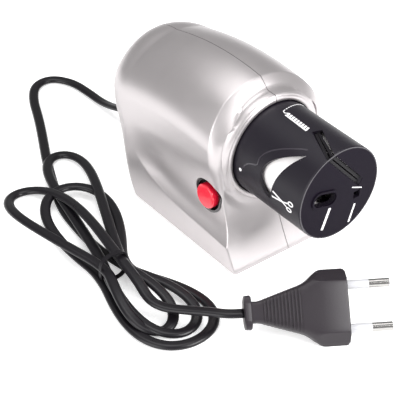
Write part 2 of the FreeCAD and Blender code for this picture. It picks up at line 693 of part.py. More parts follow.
def cooling_fan():
    """The fan on the rear end of the shaft."""
    front = end_cap_front() + END_CAP_THICKNESS + 1.5
    fan = rod_y(FAN_HUB, front, front + FAN_WIDTH)
    fan = fan.fuse(rod_y(FAN_RADIUS, front, front + FAN_DISC))
    for blade in range(FAN_BLADES):
        plate = Part.makeBox(FAN_RADIUS - FAN_HUB + 1.0, FAN_WIDTH, 1.2, Vector(FAN_HUB - 1.0, front, -0.6))
        plate.rotate(Vector(0, 0, 0), Vector(0, 1, 0), 360.0 * blade / FAN_BLADES)
        plate.translate(Vector(0, 0, AXIS_Z))
        fan = fan.fuse(plate)
    return fan.cut(rod_y(SHAFT_RADIUS + FIT, front - 1.0, front + FAN_WIDTH + 1.0)).removeSplitter()


def button_bezel():
    """The black well around the button, which snaps into the flank."""
    inner_x = BEZEL_FACE_X + BEZEL_DEPTH
    bezel = rod_x(BEZEL_RADIUS, BEZEL_FACE_X, BEZEL_FACE_X + 1.2, BUTTON_Y, BUTTON_Z)
    bezel = bezel.fuse(rod_x(BEZEL_RADIUS - 0.8, BEZEL_FACE_X, inner_x, BUTTON_Y, BUTTON_Z))
    bezel = bezel.cut(rod_x(BEZEL_WELL, BEZEL_FACE_X - 1.0, inner_x - 1.2, BUTTON_Y, BUTTON_Z))
    bezel = bezel.cut(rod_x(STEM_RADIUS + 0.3, BEZEL_FACE_X - 1.0, inner_x + 1.0, BUTTON_Y, BUTTON_Z))
    return bezel.removeSplitter()


def button_cap():
    """The red cap with its stem."""
    face = BEZEL_FACE_X - BUTTON_PROUD
    cap = rod_x(BUTTON_RADIUS, face, face + BUTTON_HEIGHT - BUTTON_TRAVEL, BUTTON_Y, BUTTON_Z)
    rim = [e for e in cap.Edges if e.BoundBox.XMax < face + 0.01]
    cap = cap.makeFillet(BUTTON_DOME, rim)
    stem = rod_x(STEM_RADIUS, face + 1.0, SWITCH_FRONT_X + 1.0, BUTTON_Y, BUTTON_Z)
    return cap.fuse(stem).removeSplitter()


def button_spring():
    """The sleeve-like space of the return spring, around the stem inside the well."""
    face = BEZEL_FACE_X - BUTTON_PROUD + BUTTON_HEIGHT - BUTTON_TRAVEL
    seat = BEZEL_FACE_X + BEZEL_DEPTH - 1.2
    outer = rod_x(STEM_RADIUS + 1.4, face, seat, BUTTON_Y, BUTTON_Z)
    return outer.cut(rod_x(STEM_RADIUS + 0.7, face - 1.0, seat + 1.0, BUTTON_Y, BUTTON_Z))


def switch_block(grow):
    """The stepped block of the switch, which clears the motor above it."""
    y0 = BUTTON_Y - SWITCH_AHEAD - grow
    y1 = BUTTON_Y - SWITCH_AHEAD + SWITCH_LENGTH + grow
    upper = box(SWITCH_FRONT_X - grow, SWITCH_NECK_X + grow, y0, y1, SWITCH_FOOT_Z, SWITCH_TOP_Z + grow)
    lower = box(SWITCH_FRONT_X - grow, SWITCH_REAR_X + grow, y0, y1,
                SWITCH_FOOT_Z - grow, SWITCH_STEP_Z + grow)
    return upper.fuse(lower).removeSplitter()


def switch_body():
    """The switch behind the bezel."""
    body = switch_block(0.0)
    neck = rod_x(4.5, BEZEL_FACE_X + BEZEL_DEPTH, SWITCH_FRONT_X + 0.5, BUTTON_Y, BUTTON_Z)
    hole = rod_x(STEM_RADIUS + 0.2, BEZEL_FACE_X, SWITCH_FRONT_X + 1.0 + BUTTON_TRAVEL + 0.6,
                 BUTTON_Y, BUTTON_Z)
    return body.fuse(neck).cut(hole).removeSplitter()


def switch_contacts():
    """The two tags at the back of the switch."""
    tags = []
    for side in (-1.0, 1.0):
        z = (SWITCH_FOOT_Z + SWITCH_STEP_Z) / 2.0 + 2.0 * side
        y1 = BUTTON_Y - SWITCH_AHEAD + SWITCH_LENGTH - 0.3
        tags.append(box(SWITCH_REAR_X, SWITCH_REAR_X + 4.0, y1 - 2.4, y1,
                        z - SWITCH_PIN / 2.0, z + SWITCH_PIN / 2.0))
    return group(tags)


def circuit_board():
    """The board under the motor."""
    return box(-BOARD_HALF_X, BOARD_HALF_X, BOARD_FRONT_Y, BOARD_REAR_Y, BOARD_Z, BOARD_Z + BOARD_THICKNESS)


def filter_capacitor():
    """A capacitor lying on the board."""
    z = BOARD_Z + BOARD_THICKNESS + CAPACITOR_RADIUS
    return rod_y(CAPACITOR_RADIUS, BOARD_REAR_Y - CAPACITOR_LENGTH - 3.0, BOARD_REAR_Y - 3.0, 8.0, z)


def rectifier_diodes():
    """Four diodes in a row."""
    z = BOARD_Z + BOARD_THICKNESS + DIODE_RADIUS
    diodes = []
    for step in range(4):
        y = BOARD_FRONT_Y + 12.0 + 4.5 * step
        diodes.append(rod_x(DIODE_RADIUS, 2.0, 2.0 + DIODE_LENGTH, y, z))
    return group(diodes)


def housing_screws():
    """The screws that hold the two halves together."""
    screws = []
    for y, z in BOSS_PLACES:
        shank = rod_x(SCREW_RADIUS, SCREW_TIP_X, SCREW_SEAT_X, y, z)
        head = rod_x(SCREW_HEAD_RADIUS, SCREW_SEAT_X, SCREW_SEAT_X + SCREW_HEAD_HEIGHT, y, z)
        cross = box(SCREW_SEAT_X + 1.0, SCREW_SEAT_X + 4.0, y - 1.6, y + 1.6, z - 0.4, z + 0.4)
        cross = cross.fuse(box(SCREW_SEAT_X + 1.0, SCREW_SEAT_X + 4.0, y - 0.4, y + 0.4, z - 1.6, z + 1.6))
        screws.append(shank.fuse(head).cut(cross).removeSplitter())
    return group(screws)


def rubber_feet():
    """Four round feet in the underside."""
    return group([rod_z(FOOT_RADIUS, 0.0, BASE_Z + FOOT_SEAT, x, y) for x, y in FOOT_PLACES])


def strain_relief():
    """The tapered sleeve where the lead leaves the rear."""
    wall_y = RELIEF_FRONT_Y + RELIEF_FLANGE_WIDTH
    flange = rod_y(RELIEF_FLANGE, RELIEF_FRONT_Y, wall_y, 0.0, EXIT_Z)
    taper = Part.makeCone(RELIEF_RADIUS, RELIEF_TIP_RADIUS, RELIEF_REAR_Y - wall_y,
                          Vector(0, wall_y, EXIT_Z), Vector(0, 1, 0))
    return flange.fuse(taper).removeSplitter()


def cord_clamp():
    """The bar that grips the lead inside the housing."""
    y1 = RELIEF_FRONT_Y
    return box(-CLAMP_LENGTH / 2.0, CLAMP_LENGTH / 2.0, y1 - 5.0, y1, EXIT_Z + 2.0, EXIT_Z + 2.0 + CLAMP_THICKNESS)


def cord_tube(points, name):
    """A round tube along straight runs joined by tangent arcs, as large as the runs allow."""
    edges = []
    last = points[0]
    radii = []
    for i in range(1, len(points) - 1):
        before = points[i] - points[i - 1]
        after = points[i + 1] - points[i]
        turn = before.getAngle(after)
        shorter = min(before.Length, after.Length)
        radius = 0.45 * shorter / math.tan(turn / 2.0)
        radii.append(round(radius, 1))
        reach = 0.45 * shorter
        start = points[i] - before.normalize() * reach
        end = points[i] + after.normalize() * reach
        bisector = (end + start) * 0.5 - points[i]
        depth = radius / math.cos(turn / 2.0) - radius
        middle = points[i] + bisector.normalize() * depth
        edges.append(Part.makeLine(last, start))
        edges.append(Part.Arc(start, middle, end).toShape())
        last = end
    edges.append(Part.makeLine(last, points[-1]))
    path = Part.Wire(edges)
    first = points[1] - points[0]
    section = Part.Wire([Part.makeCircle(CORD_DIAMETER / 2.0, points[0], first)])
    tube = path.makePipeShell([section], True, False)
    expected = math.pi * CORD_DIAMETER ** 2 / 4.0 * path.Length
    print(name, "radii", radii, "length", round(path.Length, 1),
          "volume ratio", round(tube.Volume / expected, 4))
    return tube


def cord_lead():
    """The lead from the relief to the hank."""
    points = [Vector(0, RELIEF_REAR_Y, EXIT_Z), Vector(0, RELIEF_REAR_Y + LEAD_STRAIGHT, EXIT_Z)]
    points.append(Vector(LEAD_STEP[0], LEAD_STEP[1], LEAD_STEP[2]))
    points += [Vector(x, y, CORD_Z) for x, y in LEAD_ROUTE]
    points.append(Vector(LEAD_END[0], LEAD_END[1], CORD_Z))
    return cord_tube(points, "cord_lead")


def cord_hank():
    """The closed outer form of the tied hank."""
    curve = Part.BSplineCurve()
    curve.interpolate([Vector(x, y, 0.0) for x, y in HANK_OUTLINE], True)
    solid = Part.Face(Part.Wire([curve.toShape()])).extrude(Vector(0, 0, HANK_HEIGHT))
    return solid


def plug_point(along, across, lift=0.0):
    """A point on the plug, by its distance along its axis, across its wide face and above that face."""
    flat = across * math.cos(PLUG_ROLL) - lift * math.sin(PLUG_ROLL)
    high = across * math.sin(PLUG_ROLL) + lift * math.cos(PLUG_ROLL)
    x = PLUG_START[0] + along * math.cos(PLUG_DIRECTION) - flat * math.sin(PLUG_DIRECTION)
    y = PLUG_START[1] + along * math.sin(PLUG_DIRECTION) + flat * math.cos(PLUG_DIRECTION)
    return Vector(x, y, PLUG_AXIS_Z + high)


def cord_tail():
    """The short length from the hank to the plug."""
    points = [Vector(TAIL_START[0], TAIL_START[1], TAIL_START_Z)]
    points += [Vector(x, y, TAIL_MIDDLE_Z) for x, y in TAIL_ROUTE]
    points += [plug_point(-TAIL_STRAIGHT, 0.0), plug_point(0.0, 0.0)]
    return cord_tube(points, "cord_tail")


def hank_tie():
    """The band round the waist of the hank."""
    x, y = TIE_CENTRE
    band = box(x - TIE_HALF, x + TIE_HALF, y - TIE_WIDTH / 2.0, y + TIE_WIDTH / 2.0,
               HANK_HEIGHT, HANK_HEIGHT + TIE_THICKNESS)
    return band


def plug_body():
    """The moulded plug: a flared, bevelled block with a narrow neck."""
    stations = [(0.0, 9.0, 8.0), (4.0, 9.0, 8.0), (12.0, PLUG_WAIST_WIDTH, 12.0),
                (27.0, PLUG_WAIST_WIDTH + 3.0, PLUG_THICKNESS), (33.0, PLUG_FACE_WIDTH, PLUG_THICKNESS),
                (PLUG_LENGTH, PLUG_FACE_WIDTH, PLUG_THICKNESS)]
    sections = []
    for along, width, height in stations:
        half = height / 2.0
        flat = width / 2.0 - half + 0.5
        outline = [(-width / 2.0, 0.0), (-flat, half), (flat, half), (width / 2.0, 0.0),
                   (flat, -half), (-flat, -half), (-width / 2.0, 0.0)]
        sections.append(Part.makePolygon([plug_point(along, a, h) for a, h in outline]))
    return Part.makeLoft(sections, True, True)


def plug_pin(side, start, length, radius):
    """A round bar along one pin of the plug."""
    direction = Vector(math.cos(PLUG_DIRECTION), math.sin(PLUG_DIRECTION), 0)
    return Part.makeCylinder(radius, length, plug_point(start, side * PIN_SPACING / 2.0), direction)


def plug_pins():
    """The bright metal tips of the two pins."""
    start = PLUG_LENGTH + PIN_SLEEVE
    return group([plug_pin(side, start, PIN_LENGTH - PIN_SLEEVE, PIN_RADIUS) for side in (-1, 1)])


def plug_pin_sleeves():
    """The insulated halves of the two pins, next to the plug."""
    return group([plug_pin(side, PLUG_LENGTH, PIN_SLEEVE, PIN_RADIUS) for side in (-1, 1)])


right_half, left_half = housing()
save(right_half, "housing_button_side")
save(left_half, "housing_plain_side")
save(head_cap(), "head_cap")
save(knife_guide(), "knife_guide")
save(head_socket(), "head_socket")
save(grinding_wheel(), "grinding_wheel")
save(wheel_washers(), "wheel_washers")
save(wheel_nut(), "wheel_nut")
save(motor_shaft(), "motor_shaft")
save(motor_can(), "motor_can")
save(bush(CAN_FRONT_Y), "front_bush")
save(bush(end_cap_front() - BUSH_LENGTH + END_CAP_THICKNESS), "rear_bush")
save(motor_end_cap(), "motor_end_cap")
save(group([brush(-1.0), brush(1.0)]), "carbon_brushes")
save(group([magnet(0.0), magnet(180.0)]), "motor_magnets")
save(armature_core(), "armature_core")
save(armature_coils(), "armature_coils")
save(commutator(), "commutator")
save(cooling_fan(), "cooling_fan")
save(button_bezel(), "button_bezel")
save(button_cap(), "button_cap")
save(button_spring(), "button_spring")
save(switch_body(), "switch_body")
save(switch_contacts(), "switch_contacts")
save(circuit_board(), "circuit_board")
save(filter_capacitor(), "filter_capacitor")
save(rectifier_diodes(), "rectifier_diodes")
save(housing_screws(), "housing_screws")
save(rubber_feet(), "rubber_feet")
save(strain_relief(), "strain_relief")
save(cord_clamp(), "cord_clamp")
save(cord_lead(), "cord_lead")
save(cord_hank(), "cord_hank")
save(cord_tail(), "cord_tail")
save(hank_tie(), "hank_tie")
save(plug_body(), "plug_body")
save(plug_pins(), "plug_pins")
save(plug_pin_sleeves(), "plug_pin_sleeves")
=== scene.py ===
import math

import bmesh
import bpy
import numpy as np
from mathutils import Matrix, Vector


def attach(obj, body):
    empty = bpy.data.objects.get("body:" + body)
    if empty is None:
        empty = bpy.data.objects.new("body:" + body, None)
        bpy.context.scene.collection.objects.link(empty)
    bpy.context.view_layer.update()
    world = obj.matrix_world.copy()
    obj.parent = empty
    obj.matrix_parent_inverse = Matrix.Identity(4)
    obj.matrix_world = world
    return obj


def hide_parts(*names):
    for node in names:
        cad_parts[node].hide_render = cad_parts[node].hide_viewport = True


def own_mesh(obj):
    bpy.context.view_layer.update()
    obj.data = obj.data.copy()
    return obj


# Electric knife sharpener: finishes, smooth housing, printed marks, mains lead and plug. The sizes of
# pieces are in millimetres here and become metres in their meshes; camera and lights are in metres.
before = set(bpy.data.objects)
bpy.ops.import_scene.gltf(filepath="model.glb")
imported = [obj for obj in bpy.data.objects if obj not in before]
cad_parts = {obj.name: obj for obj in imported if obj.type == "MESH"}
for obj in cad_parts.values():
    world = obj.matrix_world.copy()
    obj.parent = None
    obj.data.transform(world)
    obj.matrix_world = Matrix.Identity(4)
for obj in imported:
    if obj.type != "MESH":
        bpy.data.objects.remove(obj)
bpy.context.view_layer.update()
MM = 0.001

# Camera, at the photograph's angle
CAMERA_TARGET = (-0.02066, 0.0, 0.01473)
CAMERA_AZIMUTH = -39.5
CAMERA_ELEVATION = 36.9
CAMERA_ROLL = 2.0
CAMERA_DISTANCE = 0.652
FOCAL_PIXELS = 1410.0
PICTURE_PIXELS = 400.0
SENSOR_WIDTH = 36.0

# Housing: lengths that the CAD model has too
HALF_WIDTH = 32.0
BASE_Z = 1.0
BASE_FRONT_Y = -40.7
BASE_REAR_Y = 38.0
CREST_Z = 82.4
CREST_Y = 4.0
# The square of the way from the crest is divided by this
TOP_FALL = 300.0
TAIL_Y = 65.0
SHOULDER_RADIUS = 19.0
SHOULDER_DROP = 25.4
FACE_TOP_Y = -20.5
SEAM_GAP = 0.3
WALL = 2.4

# Housing: the smooth forms that this scene makes in its own way, first the rear and the tail
REAR_SLOPE = 0.66
REAR_BEND = 2.5
TAIL_ROUND = 19.0
TAIL_ROUND_LOW = 5.0
TAIL_CENTRE_Z = 42.0
TAIL_TOP_SHRINK = 0.38

# Hollow of the flank
SCOOP_REAR_Y = 38.0
SCOOP_DEPTH = 3.8
SCOOP_LOW_FRONT = 12.4
SCOOP_HIGH_FRONT = 55.0
SCOOP_REAR_Z = 29.0
SCOOP_LOW_CLIMB = 5.0
SCOOP_HIGH_DROP = 12.0
SCOOP_FADE_Y = 14.0
SCOOP_REAR_SHARE = 0.35
# Makes the hollow as deep as its depth where it is deepest, a third of the way up
SCOOP_PEAK = 6.75

# Section, front face, front edge and the valley round the collar
FLOOR_CORNER = 1.4
# Part of the arch's points that lie on the shoulder
SHOULDER_SHARE = 0.45
FACE_LEAN = 3.2
FACE_LEAN_TOP_Z = 75.0
FOOT_FLARE = 17.0
FOOT_FLARE_TOP_Z = 38.0
FOOT_FLARE_POWER = 1.35
LIP_DEPTH = 1.2
LIP_TOP_Z = 3.2
EDGE_ROUND_FOOT = 1.0
EDGE_ROUND_GAIN_HEAD = 3.2
EDGE_ROUND_GAIN_BROW = 2.8
EDGE_REACH = 0.8
BROW_FLATNESS = 0.85
VALLEY_DEPTH = 0.8
VALLEY_WIDTH = 8.2
COLLAR_FOOT_WIDTH = 3.6

# Inside of the wall, bore and seam
INSIDE_WIDTH_SHARE = 0.92
INSIDE_HEIGHT_SHARE = 0.94
BORE_DEPTH_Y = -17.1
SEAM_SHARP_ANGLE = math.radians(38.0)

# Head: lengths that the CAD model has too
AXIS_Z = 50.3
HEAD_RADIUS = 22.4
COLLAR_FRONT_Y = -24.2
HEAD_FRONT_Y = -67.7
SLOT_FACE_END = (12.6, 0.4)
SLOT_RIM_ANGLE = 18.6
SLOT_REAR_Y = -50.6
SLOT_REAR_ANGLE = -1.0
PORT_CENTRE = (-8.4, 0.3)

# Head: this scene's own
BORE_RADIUS = 22.8
COLLAR_RADIUS = 25.3
# Radius, and y against the foot of the collar
COLLAR_LIP = ((25.0, -0.35), (24.4, -0.6), (23.7, -0.6), (23.1, -0.35), (BORE_RADIUS, 0.2))
PORT_TILT = math.radians(-14.0)
PRINT_RADIUS = HEAD_RADIUS + 0.04
# The face of the head is duller than its drum; this far behind the face still counts as face
FACE_BAND = 0.2
DRUM_SHINE = 0.30
FACE_SHINE = 0.03

# Marks: a place on the drum is an angle from the top, in degrees, and a y; a line on the face is in
# shares of the head's radius; the rims, which are lighter strips of painted highlight, and the slot's
# lips and floors, which are dark strips of painted shade, are in millimetres
DOT_PLACE = (91.7, -28.9)
SCISSOR_PIVOT = (93.3, -56.8)
SCISSOR_HALVES = (((88.5, -50.4), (98.0, -61.0)), ((96.0, -50.0), (89.0, -61.8)))
SCISSOR_ARM_SHARE = 0.75
DASHES = 11
DASH_START = 1.9
DASH_SWEEP = 44.6
DASH_FRONT_Y = -30.6
DASH_CLIMB = 4.1
TEETH = 9
TOOTH_START = (3.1, -33.2)
TOOTH_WAY = (1.8, -14.6)
BAR_WIDE = ((-0.21, -0.26), (-0.37, -0.72))
BAR_NARROW = ((0.46, -0.45), (0.34, -0.84))
PEEP_LINE = ((0.34, -0.01), (0.60, -0.12))
HEAD_RIM_RADIUS = 22.0
PORT_RIM_LENGTH = 13.7
PORT_RIM_WIDTH = 7.1
WINDOW_BROW = ((56.0, -39.8), (51.5, -41.4), (47.0, -43.3), (40.0, -47.0), (34.0, -51.0),
               (29.5, -54.0), (26.0, -56.6))
WINDOW_FOLD = ((88.0, -30.5), (85.0, -30.9), (81.0, -31.9), (77.5, -33.4), (75.0, -35.4),
               (73.6, -37.5), (71.0, -38.6), (64.0, -38.2), (56.0, -39.8))
# The slot's lips and floors: dark strips of painted shade that nearly close the knife slot
SLOT_SHADE_LIP_OFFSET = 1.02
SLOT_SHADE_LIP_RADIUS = 20.45
SLOT_SHADE_FLOOR_SUNK = 1.6

# Button
BUTTON_Y = -16.0
BUTTON_Z = 31.0
BEZEL_RADIUS = 8.5
BEZEL_FACE_X = -29.0
SPRING_FACE_X = -28.1
SPRING_SEAT_X = -25.2
SPRING_WIRE = 0.24
SPRING_RADIUS = 2.95
SPRING_TURNS = 2.0
WELL_LEDGE = 1.5
WELL_DEPTH = 9.0
WELL_ROOM = 0.12
WELL_INSET = 0.7

# Mains lead
LEAD_WIDTH = 5.0
LEAD_THICKNESS = 3.1
LEAD_SPACING = 1.2
LEAD_GROOVE = 0.20
LEAD_GROOVE_WIDTH = 0.28
PLUG_START = (-52.5, -70.1)
PLUG_DIRECTION = math.radians(-31.0)
PLUG_ROLL = math.radians(45.0)
PLUG_FACE_WIDTH = 33.0
PLUG_LENGTH = 44.5
# Half the width and half the thickness together, where the corners of the plug are cut
PLUG_BEVEL_SUM = 16.7
PLUG_AXIS_Z = PLUG_FACE_WIDTH / 2.0 * math.sin(PLUG_ROLL)
PLUG_RIBS = 11
PLUG_RIB_PITCH = 1.5
PLUG_RIB_RISE = 0.38

# Tie round the waist of the hank
TIE_CENTRE = (-75.8, -8.2, 7.45)
TIE_HALF_LENGTH = 1.0
TIE_HALF_WIDTH = 6.6
TIE_HALF_HEIGHT = 6.7
TIE_THICKNESS = 0.6

# Light
WORLD_LIGHT = 0.36
KEY_WATTS = 11.0
FILL_WATTS = 8.0
TOP_WATTS = 7.0
FLOOR_GLOW = 0.45
FLOOR_REACH = 6.0


def smoothstep(low, high, value):
    """With t the share of the way from low to high: 3 t squared less 2 t cubed, level at both ends."""
    t = np.clip((value - low) / (high - low), 0.0, 1.0)
    return t * t * (3.0 - 2.0 * t)


def mesh_object(name, points, faces, smooth=True):
    """A mesh object at the origin from points in millimetres and faces of point numbers."""
    mesh = bpy.data.meshes.new(name)
    places = (np.asarray(points, dtype=float) * MM).tolist()
    mesh.from_pydata(places, [], [list(map(int, face)) for face in faces])
    mesh.update()
    if smooth:
        mesh.shade_smooth()
    else:
        mesh.shade_flat()
    obj = bpy.data.objects.new(name, mesh)
    bpy.context.scene.collection.objects.link(obj)
    return obj


def grid_faces(rows, columns, wrap_columns=False, wrap_rows=False):
    """Four-sided faces of a grid of points stored row by row."""
    r = np.arange(rows if wrap_rows else rows - 1)
    c = np.arange(columns if wrap_columns else columns - 1)
    rr, cc = np.meshgrid(r, c, indexing="ij")
    nr = (rr + 1) % rows
    nc = (cc + 1) % columns
    quads = np.stack([rr * columns + cc, rr * columns + nc, nr * columns + nc, nr * columns + cc], -1)
    return quads.reshape(-1, 4).tolist()


def tube_faces(rows, columns):
    """Faces of a grid that closes round its columns, with a flat cap on its first and last row."""
    faces = grid_faces(rows, columns, wrap_columns=True)
    faces.append(list(range(columns)))
    faces.append([(rows - 1) * columns + c for c in range(columns)][::-1])
    return faces


def outward(obj):
    """Merges doubled points and turns every face outwards."""
    work = bmesh.new()
    work.from_mesh(obj.data)
    bmesh.ops.remove_doubles(work, verts=work.verts, dist=1e-6)
    bmesh.ops.recalc_face_normals(work, faces=work.faces)
    work.to_mesh(obj.data)
    work.free()
    return obj


# Materials

def material(name):
    """An empty node material with its shader, returned with a helper that adds nodes."""
    made = bpy.data.materials.new(name)
    made.use_nodes = True
    nodes = made.node_tree.nodes
    shader = nodes["Principled BSDF"]

    def add(kind, **values):
        """A new node; a value goes to the input of that name, or else to the setting."""
        node = nodes.new(kind)
        for key, value in values.items():
            if key in node.inputs:
                node.inputs[key].default_value = value
            else:
                setattr(node, key, value)
        return node

    return made, shader, add, made.node_tree.links.new


def finish_material(name, color, roughness, metallic=0.0, grain=900.0, bump=0.05, variation=0.06,
                    rough_swing=0.08, coat=0.0, specular=0.5):
    """A finish with a fine grain in colour, roughness and height, read from Object coordinates."""
    made, shader, add, link = material(name)
    place = add("ShaderNodeTexCoord")
    fine = add("ShaderNodeTexNoise", Scale=grain, Detail=4.0)
    broad = add("ShaderNodeTexNoise", Scale=grain * 0.05, Detail=2.0)
    link(place.outputs["Object"], fine.inputs["Vector"])
    link(place.outputs["Object"], broad.inputs["Vector"])
    tint = add("ShaderNodeMix", data_type="RGBA")
    dark = [c * (1.0 - variation) for c in color]
    light = [min(1.0, c * (1.0 + variation)) for c in color]
    tint.inputs["A"].default_value = (*dark, 1.0)
    tint.inputs["B"].default_value = (*light, 1.0)
    both = add("ShaderNodeMath", operation="ADD")
    half = add("ShaderNodeMath", operation="MULTIPLY")
    half.inputs[1].default_value = 0.5
    link(fine.outputs["Fac"], both.inputs[0])
    link(broad.outputs["Fac"], both.inputs[1])
    link(both.outputs[0], half.inputs[0])
    link(half.outputs[0], tint.inputs["Factor"])
    link(tint.outputs["Result"], shader.inputs["Base Color"])
    swing = add("ShaderNodeMapRange")
    swing.inputs["To Min"].default_value = max(0.02, roughness - rough_swing)
    swing.inputs["To Max"].default_value = min(1.0, roughness + rough_swing)
    link(half.outputs[0], swing.inputs["Value"])
    link(swing.outputs["Result"], shader.inputs["Roughness"])
    lift = add("ShaderNodeBump", Strength=bump, Distance=0.0002)
    link(fine.outputs["Fac"], lift.inputs["Height"])
    link(lift.outputs["Normal"], shader.inputs["Normal"])
    shader.inputs["Metallic"].default_value = metallic
    shader.inputs["Specular IOR Level"].default_value = specular
    shader.inputs["Coat Weight"].default_value = coat
    return made


silver = finish_material("silver_paint", (0.52, 0.49, 0.495), 0.36, metallic=0.80, grain=2600.0,
                         bump=0.10, variation=0.05, rough_swing=0.05)
head_black = finish_material("head_black", (0.008, 0.006, 0.011), 0.42, grain=1800.0, bump=0.10,
                             specular=0.22)
# A black a little lighter and glossier than the head's, for the thin strips along the head's rim, round
# the port and along the window's edges; its lighter colour is a painted highlight on these edges
painted_edge_highlight = finish_material("painted_edge_highlight", (0.030, 0.026, 0.034), 0.22, grain=900.0, bump=0.02,
                             specular=0.55)
plain_black = finish_material("moulded_black", (0.010, 0.009, 0.011), 0.42, grain=1500.0, bump=0.12,
                              specular=0.12)
well_black = finish_material("well_black", (0.012, 0.008, 0.010), 0.18, grain=900.0, bump=0.03, coat=0.4)
red = finish_material("red_button", (0.74, 0.010, 0.035), 0.22, grain=700.0, bump=0.02, coat=0.5)
stone = finish_material("grinding_stone", (0.93, 0.90, 0.90), 0.85, grain=3200.0, bump=0.7,
                        variation=0.07)
steel = finish_material("bright_steel", (0.62, 0.61, 0.60), 0.28, metallic=1.0, grain=1200.0)
sleeve_grey = finish_material("sleeve_grey", (0.50, 0.50, 0.52), 0.30, grain=900.0, bump=0.03)
pin_metal = finish_material("pin_nickel", (0.42, 0.41, 0.40), 0.20, metallic=1.0, grain=900.0, bump=0.02)
bronze = finish_material("bronze", (0.50, 0.33, 0.13), 0.4, metallic=1.0)
copper = finish_material("copper", (0.72, 0.33, 0.18), 0.35, metallic=1.0)
board_green = finish_material("board", (0.30, 0.20, 0.07), 0.6)
feet_rubber = finish_material("foot_rubber", (0.02, 0.02, 0.02), 0.75, bump=0.3)
lead_black = finish_material("lead_black", (0.007, 0.006, 0.008), 0.30, grain=1400.0, bump=0.10,
                             specular=0.30)
plug_black = finish_material("plug_black", (0.022, 0.018, 0.022), 0.42, grain=1300.0, bump=0.14,
                             specular=0.30)
white_print = finish_material("white_print", (0.86, 0.85, 0.86), 0.6, grain=2500.0, bump=0.2)


def matt_face(made):
    """Makes the flat face of the head, in front of its rim, duller than the drum."""
    nodes = made.node_tree.nodes
    link = made.node_tree.links.new
    place = nodes.new("ShaderNodeTexCoord")
    split = nodes.new("ShaderNodeSeparateXYZ")
    ahead = nodes.new("ShaderNodeMath")
    ahead.operation = "LESS_THAN"
    ahead.inputs[1].default_value = (HEAD_FRONT_Y + FACE_BAND) * MM
    shine = nodes.new("ShaderNodeMapRange")
    shine.inputs["To Min"].default_value = DRUM_SHINE
    shine.inputs["To Max"].default_value = FACE_SHINE
    link(place.outputs["Object"], split.inputs["Vector"])
    link(split.outputs["Y"], ahead.inputs[0])
    link(ahead.outputs[0], shine.inputs["Value"])
    link(shine.outputs["Result"], nodes["Principled BSDF"].inputs["Specular IOR Level"])


NODE_FINISH = {
    "head_cap": head_black, "knife_guide": plain_black, "head_socket": plain_black,
    "grinding_wheel": stone, "wheel_washers": steel, "wheel_nut": steel, "motor_shaft": steel,
    "motor_can": steel, "front_bush": bronze, "rear_bush": bronze, "motor_end_cap": white_print,
    "carbon_brushes": plain_black, "motor_magnets": plain_black, "armature_core": steel,
    "armature_coils": copper, "commutator": copper, "cooling_fan": plain_black,
    "button_bezel": well_black, "button_cap": red, "button_spring": steel,
    "switch_body": plain_black, "switch_contacts": copper, "circuit_board": board_green,
    "filter_capacitor": plain_black, "rectifier_diodes": plain_black, "housing_screws": steel,
    "rubber_feet": feet_rubber, "strain_relief": lead_black, "cord_clamp": plain_black,
    "plug_pins": pin_metal, "plug_pin_sleeves": sleeve_grey,
}


def dress_nodes():
    """Gives every carried-over CAD node its finish."""
    for name, finish in NODE_FINISH.items():
        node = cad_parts[name]
        node.data.materials.clear()
        node.data.materials.append(finish)


# Housing

def front_y(z):
    """Y of the front face by height: the upper part leans along a straight line, the foot flares out
    with a power of the way down, and a lip draws back with the square of the last way to the floor."""
    lean_height = FACE_LEAN_TOP_Z - FOOT_FLARE_TOP_Z
    upright = -FACE_LEAN * np.clip((FACE_LEAN_TOP_Z - z) / lean_height, 0.0, 1.0)
    way_down = np.clip((FOOT_FLARE_TOP_Z - z) / (FOOT_FLARE_TOP_Z - BASE_Z), 0.0, 1.0)
    flare = -FOOT_FLARE * way_down ** FOOT_FLARE_POWER
    lip = LIP_DEPTH * np.clip((LIP_TOP_Z - z) / (LIP_TOP_Z - BASE_Z), 0.0, 1.0) ** 2
    return FACE_TOP_Y + upright + flare + lip


def rear_y(z):
    """Y of the rear by height: a slope that leans back, blended into an upright by a soft minimum."""
    slope = BASE_REAR_Y + (z - BASE_Z) * REAR_SLOPE
    return TAIL_Y - REAR_BEND * np.logaddexp(0.0, (TAIL_Y - slope) / REAR_BEND)


def top_height(y):
    """Height of the ridge: a shallow crown that falls with the square of the way from its crest."""
    return CREST_Z - (y - CREST_Y) ** 2 / TOP_FALL


def flank_scoop(y, z):
    """How far the flank is hollowed: with u from 0 at the lower crease to 1 at the top, u times the
    square of 1 - u, so it is sharp below and fades out upwards."""
    rearward = np.clip((y - BASE_FRONT_Y) / (SCOOP_REAR_Y - BASE_FRONT_Y), 0.0, 1.0)
    upturn = SCOOP_REAR_Z - SCOOP_LOW_FRONT - SCOOP_LOW_CLIMB
    low = SCOOP_LOW_FRONT + SCOOP_LOW_CLIMB * rearward + upturn * rearward ** 6
    high = SCOOP_HIGH_FRONT - SCOOP_HIGH_DROP * rearward
    u = np.clip((z - low) / (high - low), 0.0, 1.0)
    fade = smoothstep(SCOOP_REAR_Y + 3.0, SCOOP_FADE_Y, y) * (1.0 - SCOOP_REAR_SHARE * rearward)
    return SCOOP_DEPTH * fade * SCOOP_PEAK * u * (1.0 - u) ** 2


def half_outline():
    """One half of the section as fractions: which stretch a column is on, and how far along it."""
    floor = np.linspace(0.0, 1.0, 14)
    side = np.concatenate([np.linspace(0.0, 0.10, 7), np.linspace(0.10, 1.0, 84)[1:]])
    arch = np.linspace(0.0, 1.0, 64)[1:]
    kind = np.concatenate([np.zeros(14), np.ones(len(side) - 1), np.full(len(arch), 2)])
    along = np.concatenate([floor, side[1:], arch])
    return kind, along


